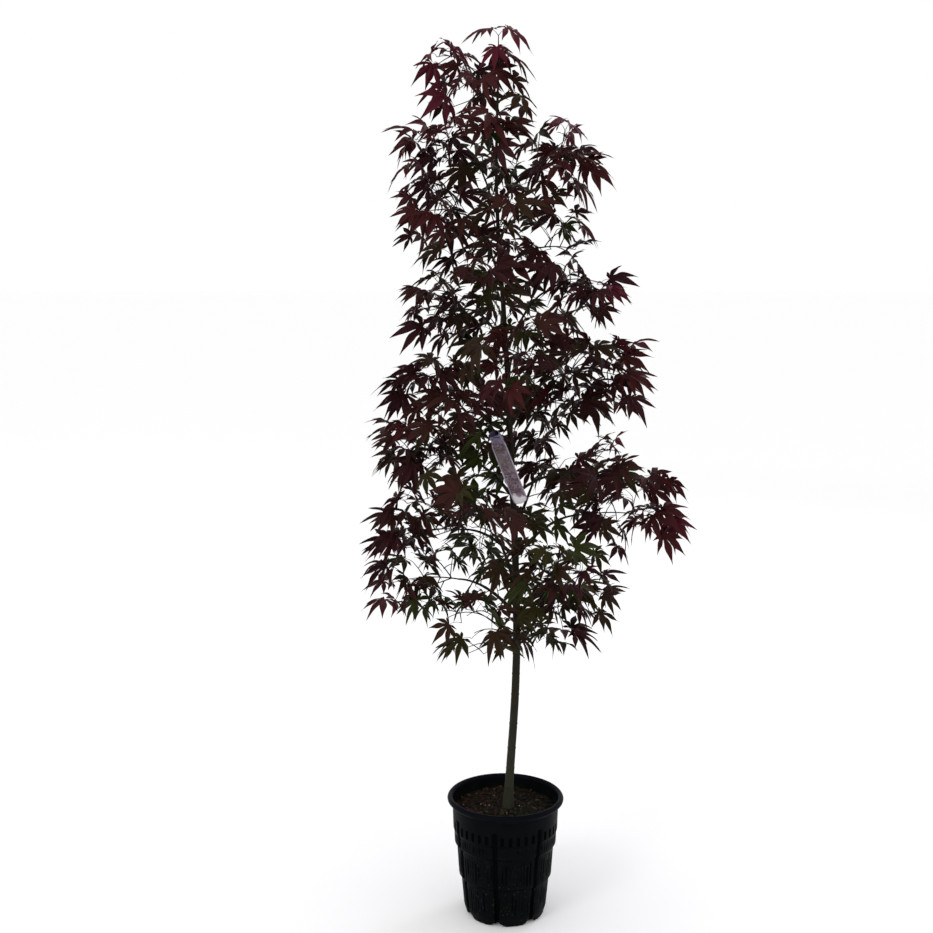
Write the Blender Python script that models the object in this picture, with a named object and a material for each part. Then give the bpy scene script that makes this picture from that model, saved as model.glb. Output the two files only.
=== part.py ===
"""A potted Japanese maple about 2.1 m tall, in its black nursery pot.

Metres, +Z up. The origin is the centre of the pot's flat underside. -Y faces the viewer and +X
is the viewer's right. Pot, potting mix, trunk, boughs, masses of foliage and a blank hang tag are
separate solids. Each mass grows by one seeded rule from a single stem.
"""

import math
import random
from collections import namedtuple

import bmesh
import bpy
from mathutils import Matrix, Vector
from mathutils.bvhtree import BVHTree

UP = Vector((0, 0, 1))
GAP = 0.0003  # clearance between neighbouring solids
SEED = 31

# Pot, 280 mm across its lip, in seven panels with a deep groove between each two
PANELS = 7
COLUMNS = 12  # points around one panel: a groove, then webs and slots in turn
FIRST_GROOVE = math.radians(-101.5)
# Outside, from the foot up: height, radius, depth of the grooves, depth of the slots
POT_WALL = (
    (0.000, 0.0935, 0.012, 0.0),
    (0.020, 0.0995, 0.012, 0.0018),
    (0.096, 0.1065, 0.006, 0.0018),
    (0.099, 0.1118, 0.006, 0.0018),
    (0.175, 0.1168, 0.006, 0.0018),
    (0.179, 0.1222, 0.006, 0.0),
    (0.210, 0.1235, 0.006, 0.0),
    (0.213, 0.1255, 0.006, 0.0),
    (0.215, 0.1256, 0.006, 0.0035),
    (0.237, 0.1262, 0.006, 0.0035),
    (0.240, 0.1264, 0.006, 0.0),
    (0.251, 0.1268, 0.0, 0.0),
    (0.273, 0.1275, 0.0, 0.0),
)
# Rolled lip and then the inside, going down: height, radius
POT_LIP = ((0.275, 0.1385), (0.283, 0.1400), (0.291, 0.1385), (0.294, 0.1340), (0.289, 0.1265))
POT_INSIDE = ((0.2555, 0.1240), (0.249, 0.1175), (0.0045, 0.0800))

# Potting mix: its flat middle, where the trunk stands, and its uneven top
SOIL_TOP = 0.261
SOIL_EDGE_DROP = 0.0022
SOIL_RINGS = (0.096, 0.062, 0.031)
SOIL_ROUGHNESS = 0.0022

# Trunk: height, offset to the viewer's right, offset away from the viewer
TRUNK_LINE = (
    (SOIL_TOP + GAP, 0.006, 0.000),
    (0.676, 0.025, 0.006),
    (1.311, 0.000, -0.004),
    (1.721, -0.026, 0.004),
    (2.006, -0.023, 0.000),
)
TRUNK_LOW_RADIUS = 0.01025
TRUNK_TIP_RADIUS = 0.00225
TRUNK_TAPER_POWER = 1.25
FLARE_RADIUS = 0.0048
FLARE_HEIGHT = 0.028
FLARE_LOBES = 5
FLARE_LOBE_DEPTH = 0.3
TRUNK_SIDES = 10
TRUNK_RINGS = 22
RING_CROWDING = 1.25  # rings stand closer together near the foot

# Boughs: radius against the trunk's, tip radius, share of the reach that they cover
BOUGH_THICKNESS = 0.52
TWIG_RADIUS = 0.0019
BOUGH_SHARE = 0.38
BOUGH_SIDES = 5
BOUGH_RINGS = 5
BOUGH_BEND = 0.10
ROOT_SPAN = 3  # half the height that a bough's root takes on the trunk, in its radii
STEEPEST_SPRAY = 1.8  # slope of a spray's stem where it leaves the trunk

# Opposite limbs up the trunk: height on the trunk, compass turn of the first limb, then for it and
# for its opposite the reach and the climb from the trunk to the foot of the mass. Where boughs is
# false the masses are sprays that grow on the trunk itself.
Tier = namedtuple("Tier", "name height turn reaches climbs boughs")
TIERS = (
    Tier("low_front", 0.671, -142, (0.270, 0.230), (0.090, 0.060), False),
    Tier("low_side", 0.746, 176, (0.364, 0.250), (0.075, 0.050), True),
    Tier("skirt_front", 0.811, -62, (0.290, 0.300), (0.060, 0.100), True),
    Tier("skirt_side", 0.886, 187, (0.342, 0.418), (0.060, 0.090), True),
    Tier("waist_front", 0.941, -116, (0.300, 0.310), (0.070, 0.110), True),
    Tier("waist_side", 1.031, 170, (0.338, 0.350), (0.080, 0.050), True),
    Tier("tag", 1.121, -136, (0.285, 0.300), (0.080, 0.110), True),
    Tier("middle_side", 1.196, 192, (0.292, 0.332), (0.075, 0.110), True),
    Tier("middle_front", 1.281, -78, (0.265, 0.270), (0.080, 0.120), True),
    Tier("shoulder_side", 1.371, 168, (0.250, 0.285), (0.085, 0.130), True),
    Tier("shoulder_front", 1.461, -108, (0.230, 0.235), (0.070, 0.110), False),
    Tier("upper_side", 1.531, 188, (0.240, 0.240), (0.140, 0.065), True),
    Tier("upper_front", 1.606, -70, (0.195, 0.200), (0.070, 0.110), False),
    Tier("high_side", 1.676, 174, (0.240, 0.252), (0.150, 0.100), True),
    Tier("high_front", 1.790, -112, (0.165, 0.150), (0.070, 0.110), False),
    Tier("top_side", 1.915, 184, (0.205, 0.110), (0.130, 0.060), False),
)

# Sprays: a square stem with opposite twigs and leaves from the middle of its faces
NODE_SPACING = 0.052
TWIG_LENGTH = 0.062
STICK_ROOT = 0.0015  # half the thickness of a stem at its root
STICK_END = 0.0010
STEM_FALL = 0.30  # downward slope of a stem at its end
UPRIGHT = 0.95  # a stem steeper than this counts as upright
PETIOLE = 0.038
PETIOLE_RADIUS = 0.0007
SINK = 0.0006  # how far a stalk's root is sunk in its twig
SPACE_WIDTH = 0.125
SPACE_WIDTH_GAIN = 0.14
SPACE_ABOVE = 0.090
SPACE_BELOW = 0.125
SPACE_BEHIND = 0.060
TRIES = 24
SHORTEST_STEM = 0.026
TWIG_TURN = 62
TWIG_PITCH = (-35, 40)
TWIG_SWING = 12
TWIG_LENGTHS = (0.8, 1.15)
TWIG_FORK = 58
SIDE_LEAF_PITCH = 8
TWIG_TAPER = 0.85
PAIR_AT = 0.35  # share of a twig at which its last stretch, with the pair of leaves, begins
END_SPREAD = 0.4  # how much less the leaf at a stem's end strays
END_STALK = 0.8  # length of the stalk at the end of a stem or twig, against PETIOLE
# Leaves at each node of a stem: face they spring from, turn, pitch, length of stalk
LEAF_RULE = (("right", -56, 8, 1.0), ("left", 56, 8, 1.0), ("top", 40, 55, 1.0), ("under", 30, -48, 0.7))
# How far each leaf strays from the rule, in degrees, and how its sizes vary
TURN_SWING = 16
PITCH_SWING = 12
BLADE_SWING = 22
ROLL_SWING = 26
STALK_LENGTHS = (0.8, 1.25)
LEAF_SIZES = (0.88, 1.08)

# Leaf: five pointed lobes, as turn from the leaf's axis and length against the middle lobe
LEAF_LENGTH = 0.082
LEAF_THICKNESS = 0.0022
LEAF_CURL = 0.012
LEAF_BEND = (32, 74)  # blade's slope below its stalk's, in degrees
STEEPEST = 78
LOBES = ((-102, 0.60), (-50, 0.90), (0, 1.00), (50, 0.90), (102, 0.60))
NOTCH = 0.36
HEEL = 0.006
HEEL_WIDTH = 0.0014
STALK_COLLAR = 0.0030  # straight foot of a leaf's three-sided stalk
THIRDS = (0, 2 * math.pi / 3, 4 * math.pi / 3)
CLEARANCE = 0.0010  # between leaves and everything that they don't grow from
WELD = 0.000004  # points closer than this are made one after a union
CLEAR_OF_HOST = 0.0045  # stretch of a stalk, from its root, that lies close to its own twig

# Leader: last shoot of the trunk, with crossed pairs of leaves and their upward pitch
SHOOT_LENGTH = 0.054
LEADER_PITCH = (20, 32, 50)
CROSSED_PAIRS = ((("right", 90), ("left", -90)), (("top", 0), ("under", 180)))
LEADER_SPACE = 0.2

# Hang tag: a blank strip that loops over the bough of the tier called tag
TAG_WIDTH = 0.031
TAG_LENGTH = 0.160
TAG_THICKNESS = 0.0009
TAG_LOOP_RADIUS = 0.0125
TAG_LOOP_WIDTH = 0.018
TAG_LOOP_SIDES = 12
TAG_NECK_WIDTH = 0.0186
TAG_SHOULDER = 0.022  # from the strip's head down to its full width
TAG_OVERLAP = 0.006
TAG_ROUND = 0.010
TAG_ROUND_STEPS = 6
TAG_LEAN = math.radians(22)
TAG_FORWARD = math.radians(4)
TAG_TIER = "tag"
TAG_AT = 0.42  # share of the bough's length

COLOURS = {
    "pot_plastic": ((0.006, 0.007, 0.009), 0.42),
    "potting_mix": ((0.020, 0.012, 0.008), 0.95),
    "bark": ((0.050, 0.047, 0.032), 0.80),
    "leaf_burgundy": ((0.060, 0.012, 0.016), 0.55),
    "leaf_bronze": ((0.045, 0.020, 0.012), 0.55),
    "leaf_olive": ((0.030, 0.034, 0.010), 0.55),
    "tag_plastic": ((0.330, 0.270, 0.300), 0.45),
}

OLIVE_TIERS = ("skirt_front", "tag", "middle_front")
BRONZE_TIERS = ("low_front", "waist_front", "shoulder_front", "upper_front")

Mass = namedtuple("Mass", "name start out normal slope run")
Taken = namedtuple("Taken", "owner centre radius tree")


def clear_scene():
    """Remove every object of the file this runs in."""
    for item in list(bpy.data.objects):
        bpy.data.objects.remove(item)


def material(slot):
    """Principled material of one slot, made once."""
    found = bpy.data.materials.get(slot)
    if found:
        return found
    colour, roughness = COLOURS[slot]
    made = bpy.data.materials.new(slot)
    made.use_nodes = True
    shader = made.node_tree.nodes["Principled BSDF"]
    shader.inputs["Base Color"].default_value = (*colour, 1)
    shader.inputs["Roughness"].default_value = roughness
    shader.inputs["Metallic"].default_value = 0.0
    return made


def add_object(name, verts, faces, slot, smooth=40):
    """Object from points and faces, shaded smooth up to an angle in degrees."""
    mesh = bpy.data.meshes.new(name)
    mesh.from_pydata([tuple(v) for v in verts], [], faces)
    mesh.materials.append(material(slot))
    mesh.shade_smooth()
    mesh.set_sharp_from_angle(angle=math.radians(smooth))
    made = bpy.data.objects.new(name, mesh)
    bpy.context.collection.objects.link(made)
    return made


def skin(faces, low, high):
    """Faces between two rings of point numbers, of equal count or two to one."""
    if len(low) == len(high):
        for a, b, c, d in zip(low, low[1:] + low[:1], high[1:] + high[:1], high):
            faces += [(a, b, c), (a, c, d)]
        return
    fine, coarse, flip = (low, high, False) if len(low) > len(high) else (high, low, True)
    for i, (c, d) in enumerate(zip(coarse, coarse[1:] + coarse[:1])):
        a, b, e = (fine[(2 * i + k) % len(fine)] for k in range(3))
        three = [(a, b, c), (b, d, c), (b, e, d)]
        faces += [face[::-1] for face in three] if flip else three


def ring(verts, centre, radii, height, first=0.0):
    """Level ring of points about a centre, one for each radius; returns their numbers."""
    start = len(verts)
    for i, radius in enumerate(radii):
        angle = first + 2 * math.pi * i / len(radii)
        verts.append((centre[0] + radius * math.cos(angle), centre[1] + radius * math.sin(angle), height))
    return list(range(start, len(verts)))


def wall_radii(radius, groove, slot):
    """Radii around the pot at one height, with its grooves and slots."""
    depths = [groove] + [slot if column % 2 == 0 else 0.0 for column in range(1, COLUMNS)]
    return [radius - depth for depth in depths] * PANELS


def build_pot():
    """Ribbed pot with a rolled lip, hollow, on a flat underside."""
    verts, faces = [], []
    half = PANELS * COLUMNS // 2
    rings = [ring(verts, (0, 0), wall_radii(r, g, s), z, FIRST_GROOVE) for z, r, g, s in POT_WALL]
    rings += [ring(verts, (0, 0), [r] * half, z, FIRST_GROOVE) for z, r in POT_LIP + POT_INSIDE]
    faces.append(tuple(reversed(rings[0])))
    for low, high in zip(rings, rings[1:]):
        skin(faces, low, high)
    faces.append(tuple(rings[-1]))
    return add_object("pot", verts, faces, "pot_plastic", 30)


def build_soil():
    """Potting mix that fills the pot, with an uneven top and a flat middle."""
    rng = random.Random(SEED)
    verts, faces = [], []
    half = PANELS * COLUMNS // 2
    top_edge, step, floor = POT_INSIDE
    wall = [(floor[0] + GAP, floor[1] - GAP)]
    wall += [(height, radius - 2 * GAP) for height, radius in (step, top_edge)]
    wall.append((SOIL_TOP - SOIL_EDGE_DROP, top_edge[1] - GAP))
    rings = [ring(verts, (0, 0), [r] * half, z, FIRST_GROOVE) for z, r in wall]
    rings += [ring(verts, (0, 0), [r] * (half // 2), SOIL_TOP, FIRST_GROOVE) for r in SOIL_RINGS]
    for number in rings[-3] + rings[-2]:
        x, y, z = verts[number]
        verts[number] = (x, y, z + rng.uniform(-1, 1) * SOIL_ROUGHNESS)
    faces.append(tuple(reversed(rings[0])))
    for low, high in zip(rings, rings[1:]):
        skin(faces, low, high)
    faces.append(tuple(rings[-1]))
    return add_object("soil", verts, faces, "potting_mix", 60)


def trunk_centre(height):
    """Middle of the trunk at a height, on a smooth curve through its line."""
    line = TRUNK_LINE
    height = min(max(height, line[0][0]), line[-1][0])
    k = max(i for i in range(len(line) - 1) if line[i][0] <= height or i == 0)
    before, here, after, beyond = (line[min(max(i, 0), len(line) - 1)] for i in range(k - 1, k + 3))
    span = after[0] - here[0]
    t = (height - here[0]) / span
    place = []
    for axis in (1, 2):
        slope_here = (after[axis] - before[axis]) / (after[0] - before[0]) * span
        slope_after = (beyond[axis] - here[axis]) / (beyond[0] - here[0]) * span
        place.append(
            here[axis] * (2 * t**3 - 3 * t**2 + 1) + slope_here * (t**3 - 2 * t**2 + t)
            + after[axis] * (3 * t**2 - 2 * t**3) + slope_after * (t**3 - t**2)
        )
    return Vector((place[0], place[1], height))


def trunk_radius(height):
    """Radius of the trunk above its root flare."""
    share = max(height - TRUNK_LINE[0][0], 0) / (TRUNK_LINE[-1][0] - TRUNK_LINE[0][0])
    return TRUNK_LOW_RADIUS - (TRUNK_LOW_RADIUS - TRUNK_TIP_RADIUS) * share**TRUNK_TAPER_POWER


def build_trunk():
    """Tapering trunk with its lean and root flare, cut flat where it leaves the potting mix."""
    verts, faces, rings = [], [], []
    foot, tip = TRUNK_LINE[0][0], TRUNK_LINE[-1][0]
    for k in range(TRUNK_RINGS):
        height = foot + (tip - foot) * (k / (TRUNK_RINGS - 1)) ** RING_CROWDING
        flare = FLARE_RADIUS * math.exp((foot - height) / FLARE_HEIGHT)
        radii = []
        for i in range(TRUNK_SIDES):
            lobe = 1 + FLARE_LOBE_DEPTH * math.cos(FLARE_LOBES * 2 * math.pi * i / TRUNK_SIDES)
            radii.append(trunk_radius(height) + flare * lobe)
        rings.append(ring(verts, trunk_centre(height), radii, height))
    faces.append(tuple(reversed(rings[0])))
    for low, high in zip(rings, rings[1:]):
        skin(faces, low, high)
    faces.append(tuple(rings[-1]))
    return add_object("trunk", verts, faces, "bark", 50)


def tube(points, radii, sides, root_normal=None):
    """Closed tapering tube along points. Its root can be cut along a plane of its own."""
    verts, faces, rings = [], [], []
    across = None
    for k, (point, radius) in enumerate(zip(points, radii)):
        ahead = (points[min(k + 1, len(points) - 1)] - points[max(k - 1, 0)]).normalized()
        across = across - ahead * across.dot(ahead) if across else ahead.orthogonal()
        across.normalize()
        second = ahead.cross(across)
        start = len(verts)
        for i in range(sides):
            angle = 2 * math.pi * i / sides
            corner = point + (across * math.cos(angle) + second * math.sin(angle)) * radius
            if k == 0 and root_normal:
                corner -= ahead * ((corner - point).dot(root_normal) / ahead.dot(root_normal))
            verts.append(corner)
        rings.append(list(range(start, len(verts))))
    faces.append(tuple(reversed(rings[0])))
    for low, high in zip(rings, rings[1:]):
        skin(faces, low, high)
    faces.append(tuple(rings[-1]))
    return verts, faces


def bearing(height, out, half_span):
    """Distance from the trunk's middle, towards out, at which a limb's root clears the trunk."""
    middle = trunk_centre(height)
    steps = [height + half_span * k / 4 for k in range(-4, 5)]
    return max((trunk_centre(z) - middle).dot(out) + trunk_radius(z) for z in steps) + GAP


def bough_point(tier, side, out, share):
    """Point on a bough, which leaves the trunk steeply and flattens towards its tip."""
    radius = trunk_radius(tier.height) * BOUGH_THICKNESS
    root = bearing(tier.height, out, ROOT_SPAN * radius)
    length = tier.reaches[side] * BOUGH_SHARE - root
    bend = BOUGH_BEND * length * math.sin(math.pi * share) * math.sin(tier.turn + 2 * side)
    climb = tier.climbs[side] * (1 - (1 - share) ** 2)
    return trunk_centre(tier.height) + out * (root + length * share) + UP.cross(out) * bend + UP * climb


def build_bough(name, tier, side, out):
    """One tapering limb from the trunk to the foot of its mass."""
    shares = [k / (BOUGH_RINGS - 1) for k in range(BOUGH_RINGS)]
    points = [bough_point(tier, side, out, share) for share in shares]
    root_radius = max(trunk_radius(tier.height) * BOUGH_THICKNESS, TWIG_RADIUS)
    radii = [root_radius + (TWIG_RADIUS - root_radius) * share for share in shares]
    verts, faces = tube(points, radii, BOUGH_SIDES, out)
    add_object(name, verts, faces, "bark", 60)
    return verts, faces, points


def headed(out, turn, pitch):
    """Direction turned about the vertical from out, and pitched up, in degrees."""
    flat = Matrix.Rotation(math.radians(turn), 3, "Z") @ out
    return flat * math.cos(math.radians(pitch)) + UP * math.sin(math.radians(pitch))


def leaf(root, stalk, forward, roll, size, extra=0.0):
    """Leaf and its stalk as one closed solid."""
    forward = forward.normalized()
    side = forward.cross(UP).normalized()
    side = Matrix.Rotation(math.radians(roll), 3, forward) @ side
    normal = side.cross(forward)
    centre = root + stalk
    half = LEAF_THICKNESS / 2 + extra
    length = LEAF_LENGTH * size + extra

    def rim(turn, radius):
        angle = math.radians(turn)
        drop = LEAF_CURL * size * (radius / length) ** 2
        return centre + (forward * math.cos(angle) + side * math.sin(angle)) * radius - normal * drop

    points = [centre + normal * half, centre - normal * half]
    for k, (turn, share) in enumerate(LOBES):
        points.append(rim(turn, length * share))
        if k < len(LOBES) - 1:
            points.append(rim((turn + LOBES[k + 1][0]) / 2, length * NOTCH))
    heel = centre - forward * HEEL
    wide = HEEL_WIDTH + extra
    points += [heel + side * wide, heel - side * wide]
    last = len(points) - 1
    rim_order = [last] + list(range(2, last))
    blade = []
    for a, b in zip(rim_order, rim_order[1:]):
        blade += [(0, b, a), (1, a, b)]
    # The stalk runs into the heel from under the blade or from above it
    along = stalk.normalized()
    below = along.dot(normal) > 0
    over, under, right, left = (1, 0, last, last - 1) if below else (0, 1, last - 1, last)
    top = -normal if below else normal
    top = (top - along * top.dot(along)).normalized()
    flank = along.cross(top)
    thin = PETIOLE_RADIUS + extra
    t = len(points)
    for foot in (root, root + along * STALK_COLLAR):
        points += [foot + (top * math.cos(a) + flank * math.sin(a)) * thin for a in THIRDS]
    stem_faces = [(t, t + 2, t + 1)]
    stem_faces += [(t + i, t + j, t + 3 + j, t + 3 + i) for i, j in ((0, 1), (1, 2), (2, 0))]
    t, r, l = t + 3, t + 4, t + 5
    stem_faces += [(over, t, r), (over, r, right), (over, left, l), (over, l, t)]
    stem_faces += [(right, r, under), (under, l, left), (under, r, l)]
    return points, blade + stem_faces


def in_space(mass, points):
    """Whether all points lie in the mass's own space, a rounded block along its stem."""
    half_run = (mass.run + SPACE_BEHIND) / 2
    half_width = SPACE_WIDTH + SPACE_WIDTH_GAIN * mass.run
    half_height = (SPACE_ABOVE + SPACE_BELOW) / 2
    side = UP.cross(mass.out)
    for point in points:
        offset = point - mass.start
        x = (offset.dot(mass.out) - (mass.run - half_run)) / (half_run * 1.01)
        y = offset.dot(side) / half_width
        z = (offset.z - (SPACE_ABOVE - half_height)) / half_height
        if x**6 + y**4 + z**4 > 1:
            return False
    return True


def taken_piece(owner, verts, faces):
    """A piece that later pieces have to stay clear of."""
    centre = sum((Vector(v) for v in verts), Vector()) / len(verts)
    radius = max((Vector(v) - centre).length for v in verts)
    return Taken(owner, centre, radius, BVHTree.FromPolygons(verts, faces))


def taken_object(item):
    """A finished object that later pieces have to stay clear of."""
    mesh = item.data
    return taken_piece(item.name, [v.co for v in mesh.vertices], [tuple(p.vertices) for p in mesh.polygons])


def is_clear(verts, faces, taken):
    """Whether a piece touches nothing that is already there."""
    piece = taken_piece("", verts, faces)
    near = (other for other in taken if (other.centre - piece.centre).length < other.radius + piece.radius)
    return not any(piece.tree.overlap(other.tree) for other in near)


def stick(points, root_half, end_half, root_normal=None):
    """Square tapering stem along points, and for each stretch of it the middles of its faces."""
    verts, faces, rings, frames = [], [], [], []
    for k, point in enumerate(points):
        ahead = (points[min(k + 1, len(points) - 1)] - points[max(k - 1, 0)]).normalized()
        side = ahead.cross(UP) if abs(ahead.z) < UPRIGHT else Vector((0, 1, 0))
        side.normalize()
        lift = side.cross(ahead)
        half = root_half + (end_half - root_half) * k / (len(points) - 1)
        start = len(verts)
        for a, b in ((-1, -1), (1, -1), (1, 1), (-1, 1)):
            corner = point + side * a * end_half + lift * b * half
            if k == 0 and root_normal:
                corner -= ahead * ((corner - point).dot(root_normal) / ahead.dot(root_normal))
            verts.append(corner)
        rings.append(list(range(start, len(verts))))
        frames.append((point, side * end_half, lift * half))
    faces.append(tuple(reversed(rings[0])))
    for low, high in zip(rings, rings[1:]):
        for a, b, c, d in zip(low, low[1:] + low[:1], high[1:] + high[:1], high):
            faces.append((a, b, c, d))
    faces.append(tuple(rings[-1]))
    if (verts[1] - verts[0]).cross(verts[2] - verts[0]).dot(points[1] - points[0]) < 0:
        faces = [face[::-1] for face in faces]
    buds = []
    for (here, side, lift), (after, side_after, lift_after) in zip(frames, frames[1:]):
        middle = (here + after) / 2
        wide, high = (side + side_after) / 2, (lift + lift_after) / 2
        places = (middle + wide, middle - wide, middle + high, middle - high)
        buds.append(dict(zip(("right", "left", "top", "under"), places)))
    buds[-1]["end"] = points[-1]
    return verts, faces, buds


def leaf_attitude(mass, turn, pitch, length, rng, spread=1.0):
    """Stalk, direction, roll and size of one leaf, drawn about a turn and a pitch."""
    aim = turn + rng.uniform(-1, 1) * TURN_SWING * spread
    pitch += rng.uniform(-1, 1) * PITCH_SWING * spread
    stalk = headed(mass.out, aim, pitch) * length * rng.uniform(*STALK_LENGTHS)
    droop = max(pitch - rng.uniform(*LEAF_BEND), -STEEPEST)
    forward = headed(mass.out, aim + rng.uniform(-1, 1) * BLADE_SWING * spread, droop)
    return stalk, forward, rng.uniform(-1, 1) * ROLL_SWING, rng.uniform(*LEAF_SIZES)


def try_leaf(mass, bud, attitude, taken, pieces):
    """Add one leaf on a bud if it keeps to the mass's space and touches nothing."""
    stalk, forward, roll, size = attitude
    along = stalk.normalized()
    verts, faces = leaf(bud - along * SINK, stalk + along * SINK, forward, roll, size)
    if not in_space(mass, verts):
        return False
    free = along * CLEAR_OF_HOST
    if not is_clear(*leaf(bud + free, stalk - free, forward, roll, size, CLEARANCE), taken):
        return False
    pieces.append((verts, faces))
    taken.append(taken_piece(mass.name, *leaf(bud + free / 2, stalk - free / 2, forward, roll, size)))
    return True


def add_leaf(mass, bud, turn, pitch, length, rng, taken, pieces):
    """Try a few attitudes for one leaf and keep the first that fits."""
    for _ in range(TRIES):
        if try_leaf(mass, bud, leaf_attitude(mass, turn, pitch, length, rng), taken, pieces):
            return


def add_twig(mass, bud, turn, rng, taken, pieces):
    """Side twig with an opposite pair of leaves and one at its end."""
    for _ in range(TRIES):
        aim = turn + rng.uniform(-1, 1) * TWIG_SWING
        way = headed(mass.out, aim, rng.uniform(*TWIG_PITCH))
        end = bud + way * TWIG_LENGTH * rng.uniform(*TWIG_LENGTHS)
        fat = STICK_END + CLEARANCE
        if not is_clear(*stick([bud + way * CLEAR_OF_HOST, end], fat, fat)[:2], taken):
            continue
        line = [bud - way * SINK, bud.lerp(end, PAIR_AT), end]
        verts, faces, buds = stick(line, STICK_END, STICK_END * TWIG_TAPER)
        pieces.append((verts, faces))
        taken.append(taken_piece(mass.name, verts, faces))
        add_leaf(mass, buds[-1]["end"], aim, 0, PETIOLE * END_STALK, rng, taken, pieces)
        for face, fork in (("right", -TWIG_FORK), ("left", TWIG_FORK)):
            add_leaf(mass, buds[-1][face], aim + fork, SIDE_LEAF_PITCH, PETIOLE, rng, taken, pieces)
        return


def stem_point(mass, length, share):
    """Point on a mass's stem, which bends down towards its end."""
    run = length * share
    sag = (mass.slope + STEM_FALL) / (2 * length)
    return mass.start + mass.out * run + UP * (mass.slope * run - sag * run * run)


def place_stem(mass, rng, taken, pieces):
    """Stem of a mass with the leaf at its end, which reaches just as far as the mass does."""
    for _ in range(TRIES):
        attitude = leaf_attitude(mass, 0, 0, PETIOLE * END_STALK, rng, END_SPREAD)
        outline, _ = leaf(Vector(), *attitude)
        length = max(mass.run - max(point.dot(mass.out) for point in outline), SHORTEST_STEM)
        nodes = max(round(length / NODE_SPACING), 2)
        line = [stem_point(mass, length, k / nodes) for k in range(nodes + 1)]
        free = line[0].lerp(line[1], CLEAR_OF_HOST / (line[1] - line[0]).length)
        fat = STICK_ROOT + CLEARANCE
        if not is_clear(*stick([free] + line[1:], fat, fat)[:2], taken):
            continue
        if try_leaf(mass, line[-1], attitude, taken, pieces):
            break
    verts, faces, buds = stick(line, STICK_ROOT, STICK_END, mass.normal)
    pieces.insert(0, (verts, faces))
    taken.append(taken_piece(mass.name, verts, faces))
    return buds


def grow_mass(mass, rng, taken):
    """Stem, opposite twigs and leaves of one mass, inside its own space."""
    pieces = []
    buds = place_stem(mass, rng, taken, pieces)
    add_twig(mass, buds[0]["right"], -TWIG_TURN, rng, taken, pieces)
    add_twig(mass, buds[0]["left"], TWIG_TURN, rng, taken, pieces)
    for faces_at in reversed(buds[1:]):
        for face, way, pitch, share in LEAF_RULE:
            turn = way if face in ("right", "left") else rng.choice((-way, way))
            add_leaf(mass, faces_at[face], turn, pitch, PETIOLE * share, rng, taken, pieces)
    return pieces


def grow_leader(mass, rng, taken):
    """Last upright shoot of the trunk with its crossed pairs of leaves."""
    pairs = len(LEADER_PITCH)
    line = [mass.start + UP * SHOOT_LENGTH * k / pairs for k in range(pairs + 1)]
    verts, faces, buds = stick(line, STICK_ROOT, STICK_END, UP)
    pieces = [(verts, faces)]
    taken.append(taken_piece(mass.name, verts, faces))
    for k, pitch in enumerate(LEADER_PITCH):
        for face, turn in CROSSED_PAIRS[k % 2]:
            add_leaf(mass, buds[k][face], turn, pitch, PETIOLE, rng, taken, pieces)
    return pieces


def largest_body(mesh):
    """Keep the largest closed body of a mesh: sealed hollows are filled and scraps dropped."""
    work = bmesh.new()
    work.from_mesh(mesh)
    bmesh.ops.remove_doubles(work, verts=work.verts, dist=WELD)
    left, bodies = set(work.faces), []
    while left:
        edge_front = [left.pop()]
        body = set(edge_front)
        while edge_front:
            for edge in edge_front.pop().edges:
                for face in edge.link_faces:
                    if face in left:
                        left.remove(face)
                        body.add(face)
                        edge_front.append(face)
        bodies.append(body)
    bodies.sort(key=len)
    scraps = [face for body in bodies[:-1] for face in body]
    bmesh.ops.delete(work, geom=scraps, context="FACES")
    loose = [v for v in work.verts if not v.link_faces]
    bmesh.ops.delete(work, geom=loose, context="VERTS")
    work.to_mesh(mesh)
    work.free()


def is_closed(mesh):
    """Whether every edge of a mesh has exactly two faces."""
    work = bmesh.new()
    work.from_mesh(mesh)
    closed = bool(work.faces) and all(len(edge.link_faces) == 2 for edge in work.edges)
    work.free()
    return closed


def fuse(name, pieces, slot):
    """Join pieces into one body by a Boolean union on a collection."""
    body = add_object(name, *pieces[0], slot, 30)
    others = bpy.data.collections.new(name + "_pieces")
    for k, (verts, faces) in enumerate(pieces[1:]):
        piece = add_object(f"{name}_piece_{k}", verts, faces, slot, 30)
        bpy.context.collection.objects.unlink(piece)
        others.objects.link(piece)
    union = body.modifiers.new("union", "BOOLEAN")
    union.operation = "UNION"
    union.operand_type = "COLLECTION"
    union.collection = others
    for solver in ("EXACT", "MANIFOLD"):
        union.solver = solver
        graph = bpy.context.evaluated_depsgraph_get()
        joined = bpy.data.meshes.new_from_object(body.evaluated_get(graph))
        largest_body(joined)
        if is_closed(joined):
            break
    body.modifiers.clear()
    body.data = joined
    joined.name = name
    for piece in list(others.objects):
        bpy.data.objects.remove(piece)
    bpy.data.collections.remove(others)
    return body


def tag_loop(middle, along, lift, level):
    """Short closed band around a bough, from which the strip hangs."""
    verts, faces, rings = [], [], []
    inner = TAG_LOOP_RADIUS - TAG_THICKNESS
    for radius, end in ((TAG_LOOP_RADIUS, -1), (TAG_LOOP_RADIUS, 1), (inner, 1), (inner, -1)):
        start = len(verts)
        for i in range(TAG_LOOP_SIDES):
            angle = 2 * math.pi * i / TAG_LOOP_SIDES
            arm = lift * math.cos(angle) + level * math.sin(angle)
            verts.append(middle + arm * radius + along * end * TAG_LOOP_WIDTH / 2)
        rings.append(list(range(start, len(verts))))
    for low, high in zip(rings, rings[1:] + rings[:1]):
        skin(faces, low, high)
    if lift.cross(level).dot(along) < 0:
        faces = [face[::-1] for face in faces]
    return verts, faces


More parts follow.
